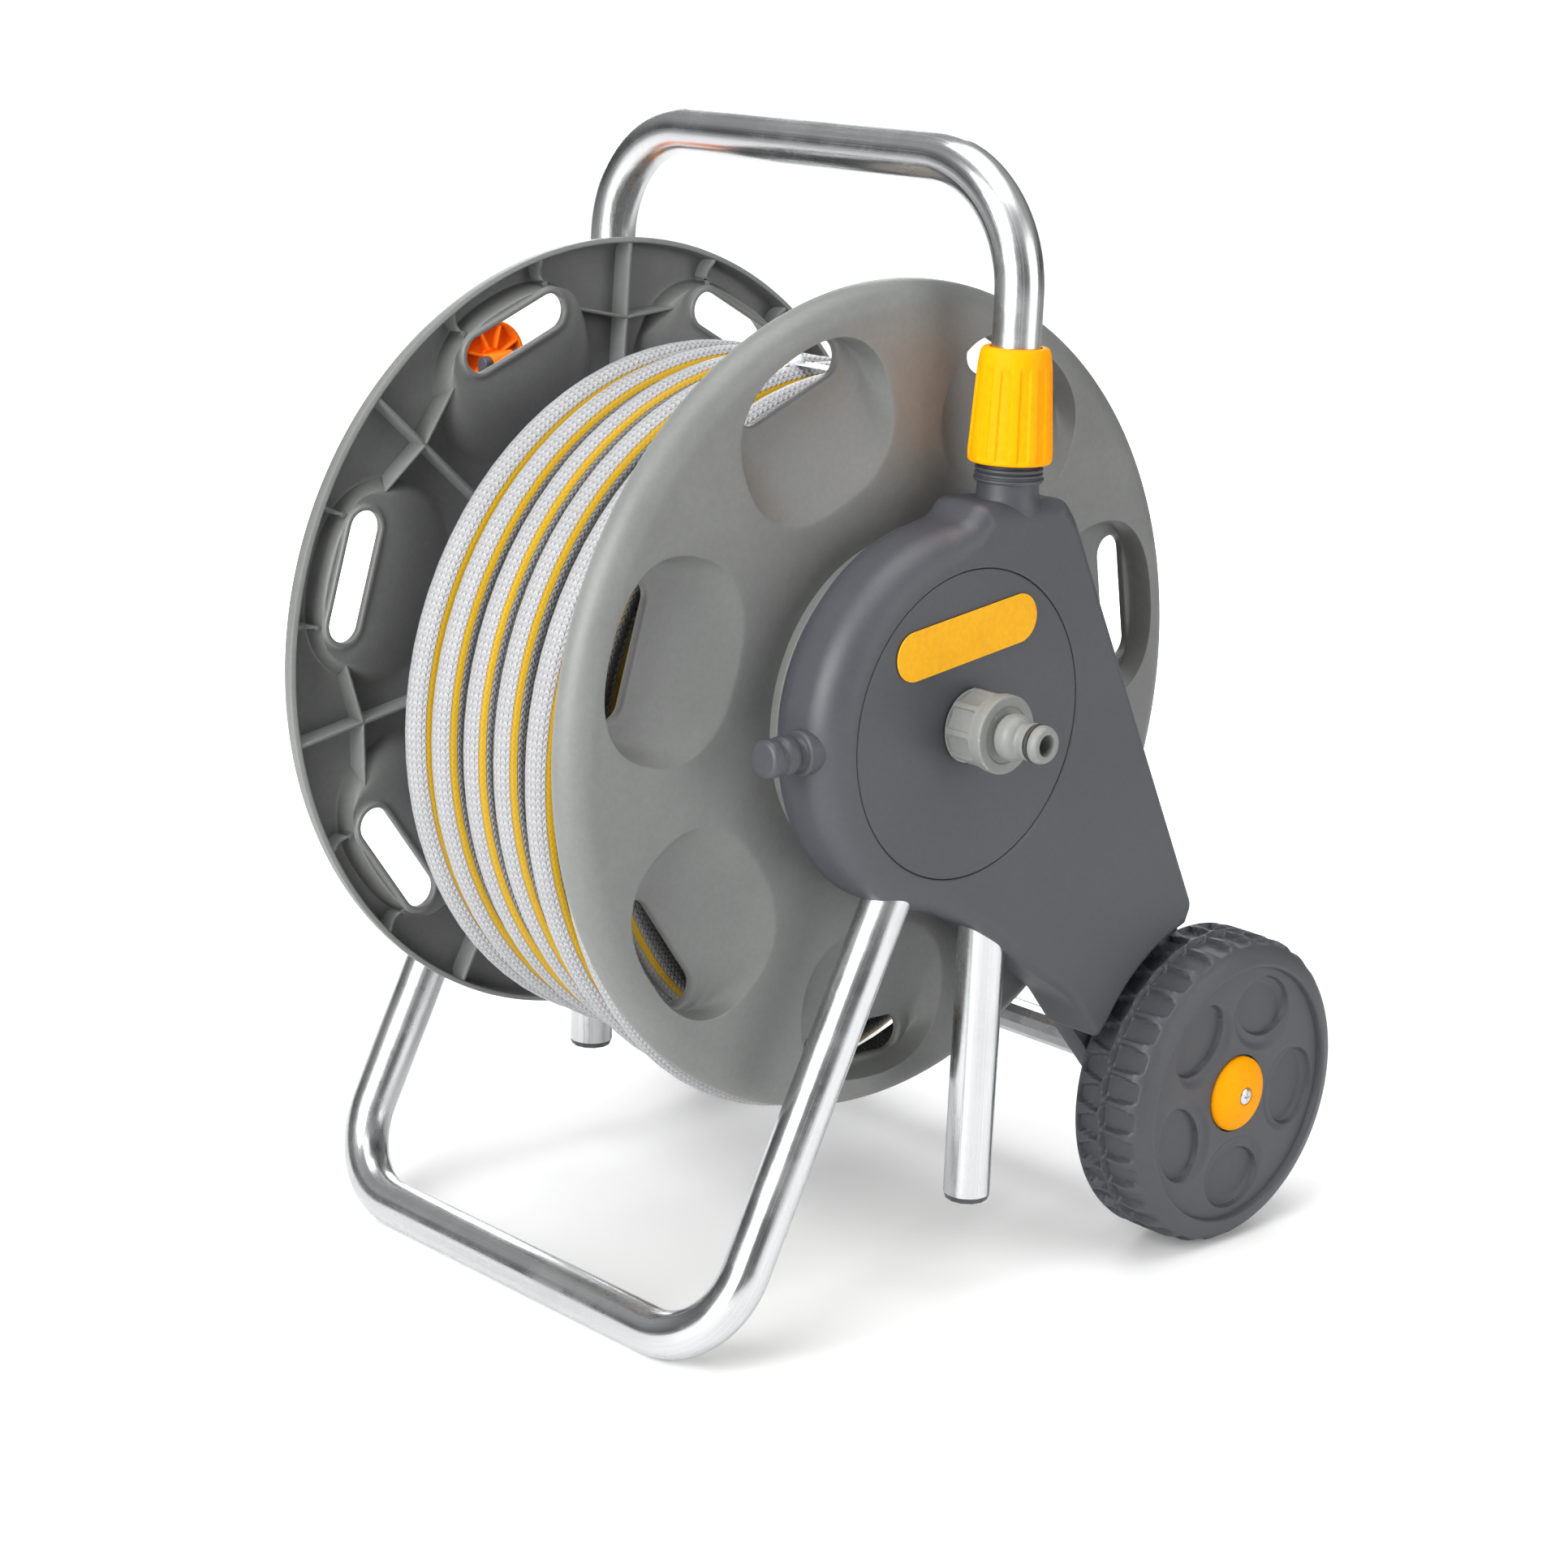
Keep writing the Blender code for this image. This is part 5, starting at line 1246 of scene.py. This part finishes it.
def make_crank():
    """The arm: a tapered plate with softened edges, a boss, and a fork for the hinge."""
    place = lambda a, b, h: DRUM + CRANK_OUT * np.asarray(a)[...,
                                                             None] + CRANK_SIDE * np.asarray(b)[..., None] + np.array([0, 1.0, 0]) * (0 * np.asarray(a) + h)[..., None]
    a = np.radians(np.linspace(90, 270, 25))
    heel = np.stack([0.016 * np.cos(a), 0.016 * np.sin(a)], 1)
    toe = soften([(0, -0.016), (0.104, -0.0121), (0.104, 0.0121), (0, 0.016)], [0, 0.003, 0.003, 0], 4)
    body = plate(np.concatenate([heel, toe[1:-1]]), 0.1570, 0.1650, place, 0.0009)
    boss = soften([(0.1572, 1e-6), (0.1572, 0.0200), (0.1690, 0.0192), (0.1690, 0.0060), (0.1684, 0.0055),
                   (0.1684, 1e-6)], [0, 0, .0012, .0005, .0003, 0], 4)
    surfaces = [body, lathe(boss, DRUM, sides=64)]
    turn = np.radians(np.linspace(-90, 90, 17))
    ear = np.concatenate([[(-0.030, -0.0038)], np.stack([0.0038 * np.cos(turn), 0.0038 * np.sin(turn)], 1),
                          [(-0.030, 0.0038)]])
    for sign in (-1, 1):
        to_world = lambda a, b, h, sign=sign: PIN + CRANK_OUT * np.asarray(a)[..., None] + np.array([0, 1.0, 0]) * np.asarray(b)[..., None] + CRANK_SIDE * (sign * (0 * np.asarray(a) + h))[..., None]
        surfaces.append(plate(ear, 0.0075, 0.0118, to_world, 0.0005))
    piece("arm", surfaces, panel_finish(), "drum", "crank_arm", sharp=40)
    screw = cross_screw(DRUM + (0, 0.1694, 0), 0.0044)
    piece("arm_screw", [screw], screw_finish(), "drum", "crank_screw")


def make_knob():
    """The folding knob: a cup with a ribbed hollow back, and a grip with a waist that turns on it."""
    y = np.array([0, 1.0, 0])
    low = 0.0044
    cup = [(low + 0.0040, 0.0060), (low + 0.0040, 0.0158), (low + 0.0005, 0.0172), (low, 0.0176), (low, 0.0186),
           (low + 0.0006, 0.0190), (low + 0.0050, 0.0190), (low + 0.0055, 0.0185),
           (low + 0.0055, 0.0056), (0.0344, 0.0055), (0.0344, 1e-6)]
    cup = soften(cup, [0, .0008, .0004, .0003, .0004, .0004, .0004, .0004, .0003, 0, 0], 3)
    hub = [(low + 0.0040, 0.0060), (low + 0.0022, 0.0058), (low + 0.0022, 1e-6)]
    cup = np.concatenate([hub[::-1], cup])
    surfaces = [lathe(cup, PIN, y, 96)]
    for k in range(8):
        q = np.pi / 8 + k * np.pi / 4
        out, around = CRANK_OUT * np.cos(q) + CRANK_SIDE * np.sin(q), CRANK_SIDE * np.cos(q) - CRANK_OUT * np.sin(q)
        r = np.linspace(0.0055, 0.0168, 10)
        section = np.array([(-0.0007, low + 0.0044), (-0.0007, low + 0.0010), (-0.0003, low + 0.0006),
                            (0.0003, low + 0.0006), (0.0007, low + 0.0010), (0.0007, low + 0.0044)])
        ring = PIN + r[:, None, None] * out + section[None, :, :1] * around + section[None, :, 1:] * y
        ends = [np.broadcast_to(ring[i].mean(0), ring[i].shape)[None] for i in (0, -1)]
        surfaces.append(grid(np.concatenate([ends[0], ring, ends[1]]), wrap_v=True))
    stalk = np.array([(-0.0034, -0.0064), (0.0034, -0.0064), (0.0034, 0.0064), (-0.0034, 0.0064)])
    stalk = soften(stalk, 0.0008, 3, closed=True)
    for_world = lambda a, b, h: PIN + CRANK_OUT * np.asarray(a)[...,
                                                                None] + CRANK_SIDE * np.asarray(b)[..., None] + y * (0 * np.asarray(a) + h)[..., None]
    surfaces.append(plate(stalk, 0.0005, low + 0.0030, for_world, 0.0003))
    barrel = soften([(-0.0069, 0.0024), (-0.0069, 0.0041), (0.0069, 0.0041), (0.0069, 0.0024)], [0, .0005, .0005, 0],
                    3, closed=True)
    surfaces.append(lathe(barrel, PIN, CRANK_SIDE, 40, closed=True))
    piece("knob_cup", surfaces, orange_finish(), "knob_base", "knob_base", sharp=40)
    start, end = low + 0.0058, 0.198 - 0.161
    grip = [(start, 0.0059), (start, 0.0160), (start + 0.0010, 0.0166), (start + 0.0070, 0.0143),
            (end - 0.0080, 0.0174), (end - 0.0020, 0.0168), (end - 0.0002, 0.0128),
            (end, 0.0050), (end - 0.0018, 0.0042), (end - 0.0022, 0.0042), (end - 0.0022, 0.0059)]
    grip = soften(grip, [0, .0008, .001, .006, .005, .003, .003, .001, .0004, 0, 0], 6, closed=True)
    wave = lambda t, r, a: r - 0.0005 * smooth((r - 0.0135) / 0.002) * smooth((np.cos(10 * a) + 0.1) / 0.6)
    piece("knob_grip", [lathe(grip, PIN, y, 160, closed=True, wave=wave)], orange_finish(), "knob", "crank_knob",
          sharp=40)


def make_small_parts():
    """Gives the CAD pieces that stay visible their procedural finishes, and the panel screws their fine heads."""
    for side, label in SIDES:
        heads = []
        for i, (x, z) in enumerate(((-0.070, 0.020), (-0.020, -0.070), (0.075, 0.020))):
            heads.append(flipped(cross_screw((DRUM_X + x, 0, DRUM_Z + z), 0.0042)))
        for h in heads:
            h["points"] = h["points"] * (1, -1, 1) + (0, 0.1198, 0)
        names = [f"panel_screw_{label}_{i}" for i in (1, 2, 3)]
        piece(f"screw_heads_{label}", on_side(heads, side), screw_finish(), "frame", names)
    finishes = {
        "drum_grey": drum_finish, "panel_slate": panel_finish, "zinc_tube": tube_finish,
                "yellow_plastic": yellow_finish,
        "orange_plastic": orange_finish, "connector_grey": connector_finish, "seal_rubber": rubber_finish,
                "zinc_screw": screw_finish,
        "bearing_white": white_finish, "hose_pvc": connector_finish,
    }
    for made in bpy.context.scene.objects:
        if made.type != "MESH":
            continue
        for slot in made.material_slots:
            if slot.material and slot.material.name in finishes:
                slot.material = finishes[slot.material.name]()


# ---- stage ----
WHITE = 1.05  # the backdrop's strength, which the view shows as paper white


def paper(name, colour, roughness=0.6):
    """Floor paper. To the camera it glows more with distance from the cart, so that it runs into the backdrop."""
    made, tree, shader = material(name)
    where = add(tree, "ShaderNodeTexCoord").outputs["Object"]
    shade = ramp(tree, noise(tree, where, 3.0, 2.0), 0.3, 0.7, 0.985, 1.0)
    tone = add(tree, "ShaderNodeCombineColor", {0: shade, 1: shade, 2: shade}).outputs[0]
    tree.links.new(blend_colour(tree, 1.0, (*colour, 1.0), tone, "MULTIPLY"), shader.inputs["Base Color"])
    shader.inputs["Roughness"].default_value = roughness
    far = add(tree, "ShaderNodeVectorMath", {0: where}, operation="LENGTH").outputs["Value"]
    seen = add(tree, "ShaderNodeLightPath").outputs["Is Camera Ray"]
    glow = maths(tree, "ADD", ramp(tree, far, 0.30, 0.75, 0.10, 0.32), ramp(tree, far, 0.6, 1.5, 0.0, WHITE - 0.32))
    shader.inputs["Emission Color"].default_value = (1, 1, 1, 1)
    tree.links.new(maths(tree, "MULTIPLY", glow, seen), shader.inputs["Emission Strength"])
    return made


def area_light(name, at, towards, size, power, colour=(1, 1, 1)):
    data = bpy.data.lights.new(name, "AREA")
    data.shape, data.size, data.size_y, data.energy, data.color = "RECTANGLE", size[0], size[1], power, colour
    lamp = bpy.data.objects.new(name, data)
    lamp.location = at
    lamp.rotation_euler = (Vector(towards) - Vector(at)).to_track_quat("-Z", "Y").to_euler()
    bpy.context.scene.collection.objects.link(lamp)
    return lamp


def studio_world():
    """White to the camera; to the objects a bright studio sky that darkens towards the floor's far edge."""
    world = bpy.data.worlds.new("Studio")
    world.use_nodes = True
    tree = world.node_tree
    tree.nodes.clear()
    up = add(tree, "ShaderNodeSeparateXYZ", {0: add(tree, "ShaderNodeTexCoord").outputs["Generated"]}).outputs[2]
    low = ramp(tree, up, -0.05, 0.06, 0.55, 0.16)
    high = ramp(tree, up, 0.10, 0.55, 0.0, 0.62)
    bright = maths(tree, "ADD", low, high)
    tone = add(tree, "ShaderNodeCombineColor", {0: bright, 1: bright, 2: bright}).outputs[0]
    studio = add(tree, "ShaderNodeBackground", {0: tone, 1: 0.46})
    white = add(tree, "ShaderNodeBackground", {0: (1, 1, 1, 1), 1: WHITE})
    mix = add(tree, "ShaderNodeMixShader", {0: add(tree, "ShaderNodeLightPath").outputs["Is Camera Ray"],
                                            1: studio.outputs[0], 2: white.outputs[0]})
    add(tree, "ShaderNodeOutputWorld", {0: mix.outputs[0]})
    bpy.context.scene.world = world


SENSOR = 36
VIEW_REACH = 4012.13 / 1932  # the focal length over the picture's width
VIEW_ANGLES = (44.158, -14.703, 2.432)  # yaw, pitch and roll in degrees
VIEW_PLACE = (-1.07054, -1.10107, 0.62284)


def make_stage():
    a = 2 * np.pi * np.arange(96) / 96
    reach = np.array([1e-4, 0.8, 2.0, 5.0])[:, None]
    spot = np.stack([reach * np.cos(a), reach * np.sin(a), 0 * reach * a - 0.0002], -1)
    mesh = grid(spot, wrap_v=True)
    floor_mesh = bpy.data.meshes.new("floor")
    floor_mesh.from_pydata(mesh["points"].tolist(), [], mesh["quads"].tolist())
    floor_mesh.materials.append(paper("floor paper", (0.93, 0.93, 0.93)))
    floor = bpy.data.objects.new("floor", floor_mesh)
    bpy.context.scene.collection.objects.link(floor)
    target = (DRUM_X, 0, 0.26)
    lights = [
        area_light("key", (-2.0, -0.25, 1.0), target, (1.3, 1.8), 60),
        area_light("fill", (0.9, -2.1, 0.9), target, (1.6, 1.6), 19),
        area_light("top", (-0.1, -0.2, 2.3), target, (1.8, 1.8), 34),
        area_light("back", (1.2, 1.7, 1.1), target, (1.4, 1.2), 20),
    ]
    studio_world()
    bpy.context.scene.view_settings.view_transform = "Standard"
    data = bpy.data.cameras.new("three-quarter view")
    data.lens, data.sensor_width = VIEW_REACH * SENSOR, SENSOR
    camera = bpy.data.objects.new("three-quarter view", data)
    yaw, pitch, roll = np.radians(VIEW_ANGLES)
    ahead = np.array([np.sin(yaw) * np.cos(pitch), np.cos(yaw) * np.cos(pitch), np.sin(pitch)])
    right = np.array([np.cos(yaw), -np.sin(yaw), 0])
    above = np.cross(right, ahead)
    across = right * np.cos(roll) + above * np.sin(roll)
    upward = above * np.cos(roll) - right * np.sin(roll)
    turn = Matrix([across, upward, -ahead]).transposed().to_4x4()
    camera.matrix_world = Matrix.Translation(VIEW_PLACE) @ turn
    bpy.context.scene.collection.objects.link(camera)
    bpy.context.scene.camera = camera


# ---- operators and panel ----
class CART_OT_hose(bpy.types.Operator):
    """Winds the hose on the drum"""

    bl_idname = "cart.hose"
    bl_label = "Wound hose"

    def execute(self, context):
        make_hose()
        make_hose_ties()
        return {"FINISHED"}


class CART_OT_drum(bpy.types.Operator):
    """Builds the drum's cheeks and barrel"""

    bl_idname = "cart.drum"
    bl_label = "Drum"

    def execute(self, context):
        make_cheeks()
        make_barrel()
        return {"FINISHED"}


class CART_OT_panels(bpy.types.Operator):
    """Builds both side panels with their covers, badge and parking peg"""

    bl_idname = "cart.panels"
    bl_label = "Side panels"

    def execute(self, context):
        make_panels()
        make_backs()
        make_discs()
        make_badge()
        make_peg()
        return {"FINISHED"}


class CART_OT_tubes(bpy.types.Operator):
    """Builds the handle, the foot and the twist collars"""

    bl_idname = "cart.tubes"
    bl_label = "Tubes and collars"

    def execute(self, context):
        make_tubes()
        make_collars()
        return {"FINISHED"}


class CART_OT_inlet(bpy.types.Operator):
    """Builds the water inlet"""

    bl_idname = "cart.inlet"
    bl_label = "Water inlet"

    def execute(self, context):
        make_inlet()
        return {"FINISHED"}


class CART_OT_wheels(bpy.types.Operator):
    """Builds both wheels with their caps and screws"""

    bl_idname = "cart.wheels"
    bl_label = "Wheels"

    def execute(self, context):
        make_wheels()
        return {"FINISHED"}


class CART_OT_crank(bpy.types.Operator):
    """Builds the crank arm and its folding knob"""

    bl_idname = "cart.crank"
    bl_label = "Crank"

    def execute(self, context):
        make_crank()
        make_knob()
        return {"FINISHED"}


class CART_OT_small(bpy.types.Operator):
    """Finishes the small pieces that stay as they are"""

    bl_idname = "cart.small"
    bl_label = "Small parts"

    def execute(self, context):
        make_small_parts()
        return {"FINISHED"}


class CART_OT_stage(bpy.types.Operator):
    """Adds the floor, the lights and the camera"""

    bl_idname = "cart.stage"
    bl_label = "Studio"

    def execute(self, context):
        make_stage()
        return {"FINISHED"}


OPERATORS = (CART_OT_hose, CART_OT_drum, CART_OT_panels, CART_OT_tubes, CART_OT_inlet, CART_OT_wheels, CART_OT_crank,
             CART_OT_small, CART_OT_stage)


class CART_PT_panel(bpy.types.Panel):
    """Lists the cart's sizes, colours and builders."""

    bl_label = "Hose cart"
    bl_idname = "CART_PT_panel"
    bl_space_type = "VIEW_3D"
    bl_region_type = "UI"
    bl_category = "Hose cart"

    def draw(self, context):
        for group in (context.scene.cart_sizes, context.scene.cart_colours):
            box = self.layout.box()
            for name in group.__annotations__:
                box.prop(group, name)
        for operator in OPERATORS:
            self.layout.operator(operator.bl_idname)


CLASSES = (CartSizes, CartColours, *OPERATORS, CART_PT_panel)


def register():
    for made in CLASSES:
        bpy.utils.register_class(made)
    bpy.types.Scene.cart_sizes = PointerProperty(type=CartSizes)
    bpy.types.Scene.cart_colours = PointerProperty(type=CartColours)


def unregister():
    del bpy.types.Scene.cart_colours
    del bpy.types.Scene.cart_sizes
    for made in reversed(CLASSES):
        bpy.utils.unregister_class(made)


def main():
    register()
    for step in ("hose", "drum", "panels", "tubes", "inlet", "wheels", "crank", "small", "stage"):
        getattr(bpy.ops.cart, step)()


if __name__ == "__main__":
    main()
